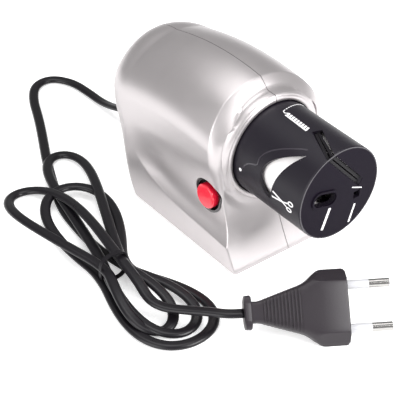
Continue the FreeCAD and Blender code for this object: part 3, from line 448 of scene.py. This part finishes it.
def outline_at(y, kind, along):
    """X and Z of the half section, from the middle of the floor out, up the flank and over the arch. The
    arch is a shoulder circle and a wider crown circle that run into each other without a corner."""
    top = top_height(y)
    spring = top - SHOULDER_DROP
    side = HALF_WIDTH - SHOULDER_RADIUS
    rise = SHOULDER_DROP
    crown = (side ** 2 + rise ** 2 - SHOULDER_RADIUS ** 2) / (2.0 * (rise - SHOULDER_RADIUS))
    crown_z = top - crown
    lean = np.arctan2(side, spring - crown_z)
    x = np.where(kind == 0, along * (HALF_WIDTH - FLOOR_CORNER), 0.0)
    z = np.where(kind == 0, BASE_Z, 0.0)
    flank_z = BASE_Z + (spring - BASE_Z) * along
    near = np.clip((BASE_Z + FLOOR_CORNER - flank_z) / FLOOR_CORNER, 0.0, 1.0)
    flank_x = HALF_WIDTH - FLOOR_CORNER * (1.0 - np.sqrt(np.clip(1.0 - near ** 2, 0.0, 1.0)))
    x = np.where(kind == 1, flank_x - flank_scoop(y, flank_z), x)
    z = np.where(kind == 1, flank_z, z)
    on_shoulder = along < SHOULDER_SHARE
    turn = np.where(on_shoulder, np.pi / 2 - (np.pi / 2 - lean) * along / SHOULDER_SHARE,
                    lean * (1.0 - along) / (1.0 - SHOULDER_SHARE))
    arch_x = np.where(on_shoulder, side + SHOULDER_RADIUS * np.sin(turn), crown * np.sin(turn))
    arch_z = np.where(on_shoulder, spring + SHOULDER_RADIUS * np.cos(turn),
                      crown_z + crown * np.cos(turn))
    x = np.where(kind == 2, arch_x, x)
    z = np.where(kind == 2, arch_z, z)
    return x, z


def housing_rings():
    """All rings of the wall: from the middle of the tail over the body and the face into the bore, and
    back to the tail on the inside."""
    kind, along = half_outline()
    kind = np.concatenate([kind, kind[-2:0:-1]])
    along = np.concatenate([along, along[-2:0:-1]])
    count = len(half_outline()[0])
    sign = np.concatenate([np.ones(count), -np.ones(len(kind) - count)])
    rings = []
    inner = []

    def add(x_ring, y_ring, z_ring):
        """Adds a ring and its twin on the inside of the wall."""
        rings.append(np.stack([x_ring, y_ring, z_ring], -1))
        rearward = np.clip((y_ring - BASE_FRONT_Y) / (TAIL_Y - BASE_FRONT_Y), 0.0, 1.0)
        inner.append(np.stack([x_ring * INSIDE_WIDTH_SHARE, y_ring + WALL * (1.0 - 2.0 * rearward),
                               BASE_Z + WALL + (z_ring - BASE_Z) * INSIDE_HEIGHT_SHARE], -1))

    def section(share):
        """The section at a share of the way from the face back to the tail, found in four rounds."""
        y = np.full(kind.shape, 0.0)
        for _ in range(4):
            x, z = outline_at(y, kind, along)
            start = front_y(z) + edge_round(z)
            round_in = TAIL_ROUND_LOW + (TAIL_ROUND - TAIL_ROUND_LOW) * smoothstep(4.0, 40.0, z)
            y = start + (rear_y(z) - round_in - start) * share
        return x * sign, y, z, round_in

    # The tail: the last section shrinks towards its middle while it moves back
    x, y, z, round_in = section(1.0)
    top_share = np.where(z > TAIL_CENTRE_Z, 1.0 - TAIL_TOP_SHRINK, 1.0)
    for shrink in np.linspace(0.02, 1.0, 16)[:-1]:
        shrunk_x = x * shrink * (1.0 - round_in / HALF_WIDTH)
        shrunk_z = TAIL_CENTRE_Z + (z - TAIL_CENTRE_Z) * shrink * top_share
        add(shrunk_x, rear_y(shrunk_z), shrunk_z)
    for turn in np.radians(np.linspace(90.0, 0.0, 15)[:-1]):
        pull = 1.0 - math.cos(turn)
        shrunk_x = x * (1.0 - round_in / HALF_WIDTH * pull)
        above = TAIL_CENTRE_Z + (z - TAIL_CENTRE_Z) * (1.0 - TAIL_TOP_SHRINK * pull)
        shrunk_z = np.where(z > TAIL_CENTRE_Z, above, z)
        shrunk_y = rear_y(shrunk_z) - round_in * (1.0 - math.sin(turn))
        add(shrunk_x, shrunk_y, shrunk_z)
    for share in np.linspace(1.0, 0.0, 90):
        x, y, z, round_in = section(share)
        add(x, y, z)

    # The front edge and the face, from the last section in to the collar
    angle = np.arctan2(x, z - AXIS_Z)
    target_x = COLLAR_RADIUS * np.sin(angle)
    target_z = AXIS_Z + COLLAR_RADIUS * np.cos(angle)
    span = np.hypot(x - target_x, z - target_z)
    edge = edge_round(z)
    flat = BROW_FLATNESS * smoothstep(46.0, 66.0, z)
    for step in (0.04, 0.09, 0.2, 0.35, 0.5, 0.65, 0.8, 0.91, 0.96, 1.0):
        turn = math.radians(90.0 * step)
        in_share = (1.0 - math.cos(turn)) * (1.0 - flat) + step * flat
        back_share = (1.0 - math.sin(turn)) * (1.0 - flat) + (1.0 - step) * flat
        inward = np.minimum(edge * in_share, EDGE_REACH * span) / np.maximum(span, 1e-6)
        px = x + (target_x - x) * inward
        pz = z + (target_z - z) * inward
        add(px, front_y(pz) + edge * back_share, pz)
    inner_edge = inner[-1]
    begin = np.minimum(edge, EDGE_REACH * span) / np.maximum(span, 1e-6)
    for share in np.linspace(0.0, 1.0, 34)[1:]:
        inward = begin + (1.0 - begin) * share
        px = x + (target_x - x) * inward
        pz = z + (target_z - z) * inward
        reach = np.hypot(px, pz - AXIS_Z)
        high = smoothstep(22.0, 44.0, pz)
        across = np.clip((reach - COLLAR_RADIUS) / VALLEY_WIDTH, 0.0, 1.0)
        valley = VALLEY_DEPTH * high * np.sin(np.pi * across) ** 2
        inner.append(inner_edge * (1.0 - share) + share * np.stack(
            [target_x, front_y(target_z) + WALL, target_z], -1))
        collar_y = np.minimum(front_y(pz), COLLAR_FRONT_Y)
        near = smoothstep(COLLAR_RADIUS + COLLAR_FOOT_WIDTH, COLLAR_RADIUS, reach)
        rings.append(np.stack([px, (front_y(pz) + valley) * (1.0 - near) + collar_y * near, pz], -1))

    # The collar's lip and the bore
    base_y = rings[-1][:, 1]
    for radius, step in COLLAR_LIP:
        rings.append(np.stack([radius * np.sin(angle), base_y + step,
                               AXIS_Z + radius * np.cos(angle)], -1))
    for radius in (BORE_RADIUS, COLLAR_RADIUS - 0.7):
        rings.append(np.stack([radius * np.sin(angle), np.full(angle.shape, BORE_DEPTH_Y),
                               AXIS_Z + radius * np.cos(angle)], -1))
    return np.array(rings + inner[::-1])


def edge_round(z):
    """Radius of the front edge: small near the foot, wider beside the head and widest at the brow."""
    return (EDGE_ROUND_FOOT + EDGE_ROUND_GAIN_HEAD * smoothstep(22.0, 46.0, z)
            + EDGE_ROUND_GAIN_BROW * smoothstep(60.0, 80.0, z))


def housing_skin():
    """The whole closed skin of the housing as one grid, closed at the tail and in the bore."""
    rings = housing_rings()
    rows, columns = rings.shape[:2]
    points = rings.reshape(-1, 3)
    return outward(mesh_object("housing_skin", points, tube_faces(rows, columns)))


def cut_button_well(obj):
    """A stepped round hole for the button's well, cut into the flank with a stepped drum."""
    drum_faces = 96
    turns = np.linspace(0.0, 2.0 * np.pi, drum_faces, endpoint=False)
    wide = BEZEL_RADIUS + WELL_ROOM
    narrow = BEZEL_RADIUS - WELL_INSET
    ledge_x = BEZEL_FACE_X + WELL_LEDGE
    steps = ((-40.0, wide), (ledge_x, wide), (ledge_x, narrow), (BEZEL_FACE_X + WELL_DEPTH, narrow))
    points = np.concatenate([np.stack([np.full(drum_faces, x), BUTTON_Y + radius * np.cos(turns),
                                       BUTTON_Z + radius * np.sin(turns)], -1) for x, radius in steps])
    faces = grid_faces(4, drum_faces, wrap_columns=True)
    faces.append(list(range(drum_faces))[::-1])
    faces.append(list(range(3 * drum_faces, 4 * drum_faces)))
    drum = outward(mesh_object("well_drum", points, faces))
    cut = obj.modifiers.new("well", "BOOLEAN")
    cut.operation = "DIFFERENCE"
    cut.object = drum
    cut.solver = "EXACT"
    apply_modifiers(obj)
    bpy.data.objects.remove(drum)


def apply_modifiers(obj):
    """Replaces the mesh by what its modifiers give."""
    graph = bpy.context.evaluated_depsgraph_get()
    done = bpy.data.meshes.new_from_object(obj.evaluated_get(graph))
    obj.modifiers.clear()
    obj.data = done


def seam_half(skin, name, sign):
    """One half of the skin, closed along the seam, shaded smooth except at edges sharper than the set
    angle.
    """
    obj = bpy.data.objects.new(name, skin.data.copy())
    bpy.context.scene.collection.objects.link(obj)
    work = bmesh.new()
    work.from_mesh(obj.data)
    plane = (sign * SEAM_GAP / 2.0 * MM, 0.0, 0.0)
    geometry = list(work.verts) + list(work.edges) + list(work.faces)
    cut = bmesh.ops.bisect_plane(work, geom=geometry, plane_co=plane, plane_no=(sign, 0, 0),
                                 clear_inner=True)
    rim = [e for e in cut["geom_cut"] if isinstance(e, bmesh.types.BMEdge)]
    filled = bmesh.ops.holes_fill(work, edges=rim, sides=0)["faces"]
    bmesh.ops.triangulate(work, faces=filled)
    bmesh.ops.recalc_face_normals(work, faces=work.faces)
    for face in work.faces:
        face.smooth = True
    work.to_mesh(obj.data)
    work.free()
    obj.data.set_sharp_from_angle(angle=SEAM_SHARP_ANGLE)
    obj.data.materials.clear()
    obj.data.materials.append(silver)
    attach(obj, "root")
    return obj


def build_housing():
    """Both halves of the housing."""
    skin = housing_skin()
    cut_button_well(skin)
    button_side = seam_half(skin, "housing_skin_button_side", -1.0)
    plain_side = seam_half(skin, "housing_skin_plain_side", 1.0)
    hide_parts("housing_button_side")
    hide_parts("housing_plain_side")
    bpy.data.objects.remove(skin)


# Printed and raised marks on the head

def on_drum(angle, y, radius=PRINT_RADIUS):
    """A point on the drum of the head, by its angle from the top towards the button side."""
    turn = np.radians(angle)
    return np.stack([-radius * np.sin(turn), np.full(np.shape(angle), 1.0) * y,
                     AXIS_Z + radius * np.cos(turn)], -1)


def drum_strip(name, angles, ys, width, closed=False, height=0.10, radius=PRINT_RADIUS, finish=None):
    """A thin raised strip on the drum that follows points given by angle and y."""
    angles = np.asarray(angles, dtype=float)
    ys = np.asarray(ys, dtype=float)
    arc = np.radians(angles) * HEAD_RADIUS
    line = np.stack([arc, ys], -1)
    if closed:
        line = np.concatenate([line, line[:1]])
    line = refine(line, 0.8)
    step = np.gradient(line, axis=0)
    step /= np.maximum(np.linalg.norm(step, axis=1, keepdims=True), 1e-9)
    side = np.stack([-step[:, 1], step[:, 0]], -1)
    columns = []
    for offset, lift in ((-0.5, -0.05), (-0.42, height), (0.42, height), (0.5, -0.05)):
        place = line + side * (offset * width)
        columns.append(on_drum(np.degrees(place[:, 0] / HEAD_RADIUS), place[:, 1], radius + lift))
    return strip_object(name, columns, "head", finish)


def strip_object(name, columns, body, finish=None):
    """A closed strip from four parallel lines of points."""
    points = np.stack(columns, 1)
    rows, across = points.shape[:2]
    faces = grid_faces(rows, across, wrap_columns=True)
    faces.append([0, 1, 2, 3])
    faces.append([(rows - 1) * across + c for c in (3, 2, 1, 0)])
    obj = outward(mesh_object(name, points.reshape(-1, 3), faces, smooth=False))
    obj.data.materials.append(finish or white_print)
    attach(obj, body)
    return obj


def refine(line, spacing):
    """The same line with points no further apart than the spacing."""
    out = [line[:1]]
    for a, b in zip(line[:-1], line[1:]):
        count = max(1, int(np.ceil(np.linalg.norm(b - a) / spacing)))
        out.append(a + (b - a) * np.linspace(0.0, 1.0, count + 1)[1:, None])
    return np.concatenate(out)


def circle_line(angle, y, radius, stretch=1.0):
    """Angles and ys of a ring on the drum: a circle, drawn out along y by the stretch."""
    turns = np.linspace(0.0, 2.0 * np.pi, 25)[:-1]
    u = radius * np.cos(turns)
    v = radius * stretch * np.sin(turns)
    return angle + np.degrees(u / HEAD_RADIUS), y + v


def face_strip(name, line, width, closed=False, thick=0.12, sunk=0.0, finish=None):
    """A thin strip on the flat face of the head; the line is in x and z from the axis."""
    line = np.asarray(line, dtype=float)
    if closed:
        line = np.concatenate([line, line[:1]])
    line = refine(line, 0.7)
    step = np.gradient(line, axis=0)
    step /= np.maximum(np.linalg.norm(step, axis=1, keepdims=True), 1e-9)
    side = np.stack([-step[:, 1], step[:, 0]], -1)
    columns = []
    for offset, lift in ((-0.5, 0.03), (-0.45, -thick), (0.45, -thick), (0.5, 0.03)):
        place = line + side * (offset * width)
        columns.append(np.stack([place[:, 0], np.full(len(place), HEAD_FRONT_Y + sunk + lift),
                                 AXIS_Z + place[:, 1]], -1))
    return strip_object(name, columns, "head", finish)


def obround_line(centre, length, width, tilt, count=12):
    """X and Z of a long round-ended outline on the face."""
    straight = (length - width) / 2.0
    right = np.linspace(-np.pi / 2, np.pi / 2, count)
    x = np.concatenate([straight + width / 2.0 * np.cos(right), -straight - width / 2.0 * np.cos(right)])
    z = np.concatenate([width / 2.0 * np.sin(right), -width / 2.0 * np.sin(right)])
    return np.stack([centre[0] + x * math.cos(tilt) - z * math.sin(tilt),
                     centre[1] + x * math.sin(tilt) + z * math.cos(tilt)], -1)


def build_marks():
    """Index dot, scissors and knife pictograms, serrated bar and the marks on the face; lighter strips
    of painted highlight along the head's rim, round the port and along the window's edges; dark strips
    of painted shade in the knife slot. The number after the line of a strip is its width."""
    drum_strip("mark_dot", *circle_line(*DOT_PLACE, 0.45), 0.8, closed=True)
    for number, (tip, handle) in enumerate(SCISSOR_HALVES):
        pivot = SCISSOR_PIVOT
        near = [pivot[k] + SCISSOR_ARM_SHARE * (handle[k] - pivot[k]) for k in range(2)]
        drum_strip(f"mark_blade_{number}", [tip[0], pivot[0]], [tip[1], pivot[1]], 0.75)
        drum_strip(f"mark_arm_{number}", [pivot[0], near[0]], [pivot[1], near[1]], 0.6)
        drum_strip(f"mark_grip_{number}", *circle_line(*handle, 0.95, 1.45), 0.6, closed=True)
    for number in range(DASHES):
        start = DASH_START - DASH_SWEEP * number / DASHES
        end = start - DASH_SWEEP / DASHES * 0.5
        ys = [DASH_FRONT_Y + DASH_CLIMB * (DASH_START - a) / DASH_SWEEP for a in (start, end)]
        drum_strip(f"mark_edge_{number}", [start, end], ys, 0.42)
    drum_strip("mark_tip", [2.6, 4.4, 1.4], [-30.6, -32.0, -33.4], 0.4)
    drum_strip("mark_blade", [6.1, 7.9], [-33.4, -47.6], 0.55)
    for number in range(TEETH):
        share = (number + 0.5) / TEETH
        angle = TOOTH_START[0] + TOOTH_WAY[0] * share
        y = TOOTH_START[1] + TOOTH_WAY[1] * share
        drum_strip(f"mark_tooth_{number}", [angle - 2.6, angle + 2.8], [y + 0.25, y - 0.25], 1.05)
    face_strip("mark_bar_wide", np.array(BAR_WIDE) * HEAD_RADIUS, 1.4)
    face_strip("mark_bar_narrow", np.array(BAR_NARROW) * HEAD_RADIUS, 1.0)
    # The rims are lighter strips of painted highlight along the head's front edge and round the port;
    # the window's brow and fold strips have the same lighter finish
    turns = np.linspace(0.0, 2.0 * np.pi, 121)[:-1]
    face_strip("head_rim_highlight", HEAD_RIM_RADIUS * np.stack([np.cos(turns), np.sin(turns)], -1), 0.6,
               closed=True, thick=0.08, finish=painted_edge_highlight)
    face_strip("port_rim_highlight", obround_line(PORT_CENTRE, PORT_RIM_LENGTH, PORT_RIM_WIDTH, PORT_TILT), 0.55,
               closed=True, thick=0.2, finish=painted_edge_highlight)
    drum_strip("window_brow", *np.transpose(WINDOW_BROW), 0.8, height=0.16, finish=painted_edge_highlight)
    drum_strip("window_fold", *np.transpose(WINDOW_FOLD), 0.7, height=0.14, finish=painted_edge_highlight)
    build_slot_shade_strips()
    face_strip("mark_peep_line", np.array(PEEP_LINE) * HEAD_RADIUS, 0.5)


def build_slot_shade_strips():
    """Both lips of the knife slot, dark strips of painted shade that nearly close the slot: a strip
    along the drum and one across the face for each.
    """
    rim_turn = math.radians(SLOT_RIM_ANGLE)
    rim = HEAD_RADIUS * np.array([-math.sin(rim_turn), math.cos(rim_turn)])
    way = np.array(SLOT_FACE_END) - rim
    way /= np.linalg.norm(way)
    across = np.array([-way[1], way[0]])
    # Each dark strip is painted shade in the slot: the drum strips lie below the drum's surface and the
    # face strips behind the face
    for number, offset in enumerate((-SLOT_SHADE_LIP_OFFSET, SLOT_SHADE_LIP_OFFSET)):
        rim_angle = SLOT_RIM_ANGLE + offset * 1.2
        drum_strip(f"slot_shade_lip_{number}", [SLOT_REAR_ANGLE + offset * 1.9, rim_angle + offset * 1.9],
                   [SLOT_REAR_Y - 0.3, HEAD_FRONT_Y + 0.3], 1.5, height=0.9, radius=SLOT_SHADE_LIP_RADIUS,
                   finish=plain_black)
        line = [rim + way * 0.7 + across * offset, np.array(SLOT_FACE_END) + across * offset]
        face_strip(f"slot_shade_floor_{number}", line, 1.6, thick=0.5, sunk=SLOT_SHADE_FLOOR_SUNK,
                   finish=plain_black)


# Button

def build_spring():
    """The coil spring behind the button, a round wire carried along a helix."""
    steps = 90
    around = 10
    along = np.linspace(0.0, 1.0, steps)
    angle = 2.0 * np.pi * SPRING_TURNS * along
    wire = SPRING_WIRE
    x = SPRING_FACE_X + wire + (SPRING_SEAT_X - SPRING_FACE_X - 2.0 * wire) * along
    radius = SPRING_RADIUS
    centre = np.stack([x, BUTTON_Y + radius * np.cos(angle), BUTTON_Z + radius * np.sin(angle)], -1)
    outwards = np.stack([np.zeros(steps), np.cos(angle), np.sin(angle)], -1)
    turn = np.linspace(0.0, 2.0 * np.pi, around, endpoint=False)
    points = (centre[:, None] + outwards[:, None] * (wire * np.cos(turn))[None, :, None]
              + np.array([1.0, 0.0, 0.0]) * (wire * np.sin(turn))[None, :, None])
    obj = outward(mesh_object("spring_coil", points.reshape(-1, 3), tube_faces(steps, around)))
    obj.data.materials.append(steel)
    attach(obj, "root")
    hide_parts("button_spring")
    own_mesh(obj)


# Mains lead

def lead_points():
    """Route points of the lead in millimetres: out of the relief, around, through the hank, to the plug.
    A turn of the hank goes from start to end along half a sine wave towards its tip, and swings out to
    both sides by a whole sine wave, which makes a drop-shaped loop. Its layer says how many leads lie
    below it."""
    lead = [(0, 67.7, 11), (0, 74.0, 11), (0, 80.7, 11), (0.2, 91.0, 8.6), (0.5, 102, 4.6),
            (1.2, 112, 2.2), (1.5, 121, 1.7), (0.5, 136, 1.6), (-7, 146.5, 1.6), (-18, 145, 1.6),
            (-26, 134, 1.6), (-33, 118, 1.6), (-41, 102, 1.6), (-51, 83, 1.6), (-60, 63, 1.6),
            (-67, 45, 1.7), (-69.5, 28, 2.0), (-70.6, 12, 1.8)]
    thick = LEAD_THICKNESS
    low = 0.5 * thick + 0.05
    layer = thick + 0.12
    # Start, end, tip, swing, bulge, then the layer at the start, the end and the tip
    turns = [
        ((-71.2, -4.0), (-79.6, -4.0), (-69.5, -63.0), 16.0, 0.0, 0, 0, 0),
        ((-79.6, -10.0), (-72.2, -10.0), (-58.0, 56.0), 14.0, 0.0, 0, 1, 1),
        ((-72.2, -6.0), (-79.0, -6.0), (-70.5, -56.0), 11.0, 0.0, 1, 1, 0),
        ((-79.0, -12.0), (-73.0, -12.0), (-43.0, 84.0), 5.2, 1.2, 1, 2, 0),
        ((-73.0, -6.0), (-78.4, -6.0), (-79.0, -50.0), 7.5, 0.2, 2, 2, 0),
        ((-78.4, -12.0), (-73.6, -12.0), (-77.0, 69.0), 10.0, 0.2, 2, 3, 0),
    ]
    points = [np.array(lead, dtype=float)]
    for start, end, tip, width, bulge, layer_in, layer_out, layer_tip in turns:
        start, end, tip = (np.asarray(p) for p in (start, end, tip))
        u = np.linspace(0.04, 0.96, 21)
        axis = tip - (start + end) / 2.0
        side = np.array([-axis[1], axis[0]]) / np.linalg.norm(axis)
        if (end - start) @ side < 0.0:
            side = -side
        flat = start + (end - start) * u[:, None] + axis * np.sin(np.pi * u)[:, None]
        swell = 1.0 + bulge * np.sin(np.pi * u) ** 2
        flat = flat - side * (width * swell * np.sin(2.0 * np.pi * u))[:, None]
        held = 1.0 - np.sin(np.pi * u) ** 3
        level = layer_tip + (layer_in + (layer_out - layer_in) * u - layer_tip) * held
        points.append(np.column_stack([flat, low + layer * level]))
    tail = [(-74.2, -24.0, 9.8), (-77.0, -36.0, 8.2), (-75.0, -43.5, 7.8), (-69.0, -51.0, 8.6),
            (-62.5, -60.0, 10.6), (-57.6, -67.0, 11.5), (*PLUG_START, PLUG_AXIS_Z)]
    points.append(np.array(tail, dtype=float))
    return np.concatenate(points)


def centreline():
    """The smooth line that the lead follows, read from a curve through its route points."""
    route = lead_points() * MM
    data = bpy.data.curves.new("lead_line", "CURVE")
    data.dimensions = "3D"
    line = data.splines.new("NURBS")
    line.points.add(len(route) - 1)
    line.points.foreach_set("co", np.column_stack([route, np.ones(len(route))]).ravel())
    line.order_u = 3
    line.use_endpoint_u = True
    line.resolution_u = 8
    obj = bpy.data.objects.new("lead_line", data)
    bpy.context.scene.collection.objects.link(obj)
    graph = bpy.context.evaluated_depsgraph_get()
    mesh = bpy.data.meshes.new_from_object(obj.evaluated_get(graph))
    points = np.empty(len(mesh.vertices) * 3)
    mesh.vertices.foreach_get("co", points)
    bpy.data.objects.remove(obj)
    bpy.data.meshes.remove(mesh)
    return points.reshape(-1, 3) / MM


def even(points, spacing):
    """Points at an even spacing along a line."""
    length = np.concatenate([[0.0], np.cumsum(np.linalg.norm(np.diff(points, axis=0), axis=1))])
    places = np.linspace(0.0, length[-1], int(length[-1] / spacing) + 1)
    return np.stack([np.interp(places, length, points[:, k]) for k in range(3)], -1), length[-1]


def build_lead():
    """The flat twin lead as one closed tube along its line: an ellipse with a bell-shaped groove pressed
    into the middle of both flat sides."""
    line, length = even(centreline(), LEAD_SPACING)
    along = np.gradient(line, axis=0)
    along /= np.linalg.norm(along, axis=1, keepdims=True)
    side = np.cross(along, (0.0, 0.0, 1.0))
    side /= np.linalg.norm(side, axis=1, keepdims=True)
    up = np.cross(side, along)
    around = 20
    turn = np.linspace(0.0, 2.0 * np.pi, around, endpoint=False)
    wide = LEAD_WIDTH / 2.0 * np.cos(turn)
    groove = 1.0 - LEAD_GROOVE * np.exp(-(np.cos(turn) / LEAD_GROOVE_WIDTH) ** 2)
    high = LEAD_THICKNESS / 2.0 * np.sin(turn) * groove
    points = line[:, None] + side[:, None] * wide[None, :, None] + up[:, None] * high[None, :, None]
    obj = outward(mesh_object("mains_lead", points.reshape(-1, 3), tube_faces(len(line), around)))
    obj.data.materials.append(lead_black)
    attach(obj, "root")
    return obj, line, length


def build_tie():
    """The thin band that holds the waist of the hank, on an outline between an ellipse and a box: each
    way is a power of the cosine or sine below one."""
    around = 64
    turn = np.linspace(0.0, 2.0 * np.pi, around, endpoint=False)
    front = TIE_CENTRE[1] - TIE_HALF_LENGTH
    back = TIE_CENTRE[1] + TIE_HALF_LENGTH
    rings = []
    for y, grow in ((front, 0.0), (front, TIE_THICKNESS), (back, TIE_THICKNESS), (back, 0.0)):
        wide = (TIE_HALF_WIDTH + grow) * np.sign(np.cos(turn)) * np.abs(np.cos(turn)) ** 0.6
        high = (TIE_HALF_HEIGHT + grow) * np.sign(np.sin(turn)) * np.abs(np.sin(turn)) ** 0.7
        rings.append(np.stack([TIE_CENTRE[0] + wide, np.full(around, y), TIE_CENTRE[2] + high], -1))
    points = np.stack(rings).reshape(-1, 3)
    faces = grid_faces(len(rings), around, wrap_columns=True, wrap_rows=True)
    obj = outward(mesh_object("lead_tie", points, faces))
    obj.data.materials.append(plain_black)
    obj.data.set_sharp_from_angle(angle=math.radians(40.0))
    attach(obj, "root")
    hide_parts("hank_tie")
    return obj


def plug_frame(points):
    """Turns points given along, across and through the plug into the row frame."""
    direction = np.array([math.cos(PLUG_DIRECTION), math.sin(PLUG_DIRECTION), 0.0])
    flat = np.array([-direction[1], direction[0], 0.0])
    across = flat * math.cos(PLUG_ROLL) + np.array([0.0, 0.0, math.sin(PLUG_ROLL)])
    through = np.cross(direction, across)
    start = np.array([PLUG_START[0], PLUG_START[1], PLUG_AXIS_Z])
    return start + points[..., :1] * direction + points[..., 1:2] * across + points[..., 2:] * through


def build_plug():
    """The flat plug: cable flange, thin neck, ribbed grip and a wide block behind the pins. Each station
    is a rounded box, by powers of the cosine and sine below one, with its corners cut at a slant."""
    # How far along, half the width and half the thickness
    stations = [
        (0.0, 2.6, 2.0), (0.0, 5.5, 3.0), (0.4, 7.2, 3.9), (2.6, 7.4, 4.0), (3.1, 6.9, 3.7),
        (3.3, 4.7, 3.4), (5.4, 4.6, 3.5), (7.4, 5.0, 3.8)]
    for number in range(PLUG_RIBS):
        place = 8.0 + PLUG_RIB_PITCH * number
        swell = 5.2 + 0.48 * number
        thick = 3.9 + 0.13 * number
        proud = thick + PLUG_RIB_RISE
        stations += [(place, swell, thick), (place + 0.15, swell + 0.05, proud),
                     (place + 0.85, swell + 0.35, proud), (place + 1.0, swell + 0.4, thick)]
    stations += [(25.4, 10.9, 5.4), (27.6, 12.3, 5.6), (29.6, 14.0, 5.8), (31.6, 15.6, 5.9),
                 (33.2, 16.3, 6.0), (34.4, 16.45, 6.0), (43.2, 16.45, 6.0), (44.1, 16.1, 5.7),
                 (PLUG_LENGTH, 15.4, 5.1), (PLUG_LENGTH, 3.0, 1.0)]
    around = 72
    power_wide = 0.42
    power_thick = 0.55
    # A hair off the axes, so that no sine or cosine is zero
    turn = np.linspace(0.0, 2.0 * np.pi, around, endpoint=False) + 0.001
    rings = []
    for along, half, thick in stations:
        wide = half * np.sign(np.cos(turn)) * np.abs(np.cos(turn)) ** power_wide
        high = thick * np.sign(np.sin(turn)) * np.abs(np.sin(turn)) ** power_thick
        room = np.maximum(PLUG_BEVEL_SUM - np.abs(high), 0.0)
        wide = np.clip(wide, -room, room)
        rings.append(np.stack([np.full(around, along), wide, high], -1))
    points = plug_frame(np.stack(rings))
    obj = outward(mesh_object("plug_moulding", points.reshape(-1, 3), tube_faces(len(rings), around)))
    obj.data.set_sharp_from_angle(angle=math.radians(34.0))
    obj.data.materials.append(plug_black)
    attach(obj, "root")
    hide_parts("plug_body")
    return obj


# Light, floor and camera

def area_light(name, place, aim, size, watts):
    """A soft square light that points at a place."""
    data = bpy.data.lights.new(name, "AREA")
    data.shape = "SQUARE"
    data.size = size
    data.energy = watts
    obj = bpy.data.objects.new(name, data)
    bpy.context.scene.collection.objects.link(obj)
    obj.location = place
    obj.rotation_euler = (Vector(aim) - Vector(place)).to_track_quat("-Z", "Y").to_euler()
    return obj


def build_stage():
    """Pale floor, white surroundings and soft lights."""
    floor_material, shader = material("pale_floor")[:2]
    shader.inputs["Base Color"].default_value = (0.93, 0.93, 0.93, 1.0)
    shader.inputs["Roughness"].default_value = 0.9
    shader.inputs["Specular IOR Level"].default_value = 0.1
    shader.inputs["Emission Color"].default_value = (1.0, 1.0, 1.0, 1.0)
    shader.inputs["Emission Strength"].default_value = FLOOR_GLOW
    mesh = bpy.data.meshes.new("floor")
    reach = FLOOR_REACH
    mesh.from_pydata([(-reach, -reach, 0), (reach, -reach, 0), (reach, reach, 0), (-reach, reach, 0)],
                     [], [(0, 1, 2, 3)])
    floor = bpy.data.objects.new("floor", mesh)
    bpy.context.scene.collection.objects.link(floor)
    floor.data.materials.append(floor_material)

    world = bpy.data.worlds.new("surroundings")
    bpy.context.scene.world = world
    world.use_nodes = True
    nodes = world.node_tree.nodes
    link = world.node_tree.links.new
    seen = nodes["Background"]
    seen.inputs["Color"].default_value = (1.0, 1.0, 1.0, 1.0)
    seen.inputs["Strength"].default_value = 1.0
    lit = nodes.new("ShaderNodeBackground")
    lit.inputs["Color"].default_value = (1.0, 1.0, 1.0, 1.0)
    lit.inputs["Strength"].default_value = WORLD_LIGHT
    mixer = nodes.new("ShaderNodeMixShader")
    path = nodes.new("ShaderNodeLightPath")
    link(path.outputs["Is Camera Ray"], mixer.inputs["Fac"])
    link(lit.outputs["Background"], mixer.inputs[1])
    link(seen.outputs["Background"], mixer.inputs[2])
    link(mixer.outputs["Shader"], nodes["World Output"].inputs["Surface"])

    area_light("key_front", (0.25, -0.75, 0.55), (0.0, -0.02, 0.04), 0.5, KEY_WATTS)
    area_light("fill_left", (-0.95, -0.15, 0.42), (0.0, 0.0, 0.04), 0.8, FILL_WATTS)
    area_light("top_soft", (0.0, 0.15, 1.1), (0.0, 0.0, 0.0), 0.9, TOP_WATTS)


def build_camera():
    """The camera at the photograph's angle, rolled a little."""
    azimuth = math.radians(CAMERA_AZIMUTH)
    elevation = math.radians(CAMERA_ELEVATION)
    roll = math.radians(CAMERA_ROLL)
    back = Vector((math.sin(azimuth) * math.cos(elevation), -math.cos(azimuth) * math.cos(elevation),
                   math.sin(elevation)))
    right = Vector((math.cos(azimuth), math.sin(azimuth), 0.0))
    up = back.cross(right)
    right_rolled = right * math.cos(roll) + up * math.sin(roll)
    up_rolled = up * math.cos(roll) - right * math.sin(roll)
    data = bpy.data.cameras.new("photo_camera")
    data.sensor_width = SENSOR_WIDTH
    data.lens = SENSOR_WIDTH * FOCAL_PIXELS / PICTURE_PIXELS
    data.clip_start = 0.01
    data.dof.use_dof = False
    obj = bpy.data.objects.new("photo_camera", data)
    bpy.context.scene.collection.objects.link(obj)
    turned_axes = Matrix((right_rolled, up_rolled, back)).transposed().to_4x4()
    turned_axes.translation = Vector(CAMERA_TARGET) + back * CAMERA_DISTANCE
    obj.matrix_world = turned_axes
    bpy.context.scene.camera = obj


matt_face(head_black)
dress_nodes()
build_housing()
build_marks()
build_spring()
lead, lead_line, lead_length = build_lead()
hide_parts("cord_lead", "cord_hank", "cord_tail")
tie = build_tie()
plug = build_plug()
build_stage()
build_camera()
bpy.context.scene.view_settings.view_transform = "Standard"
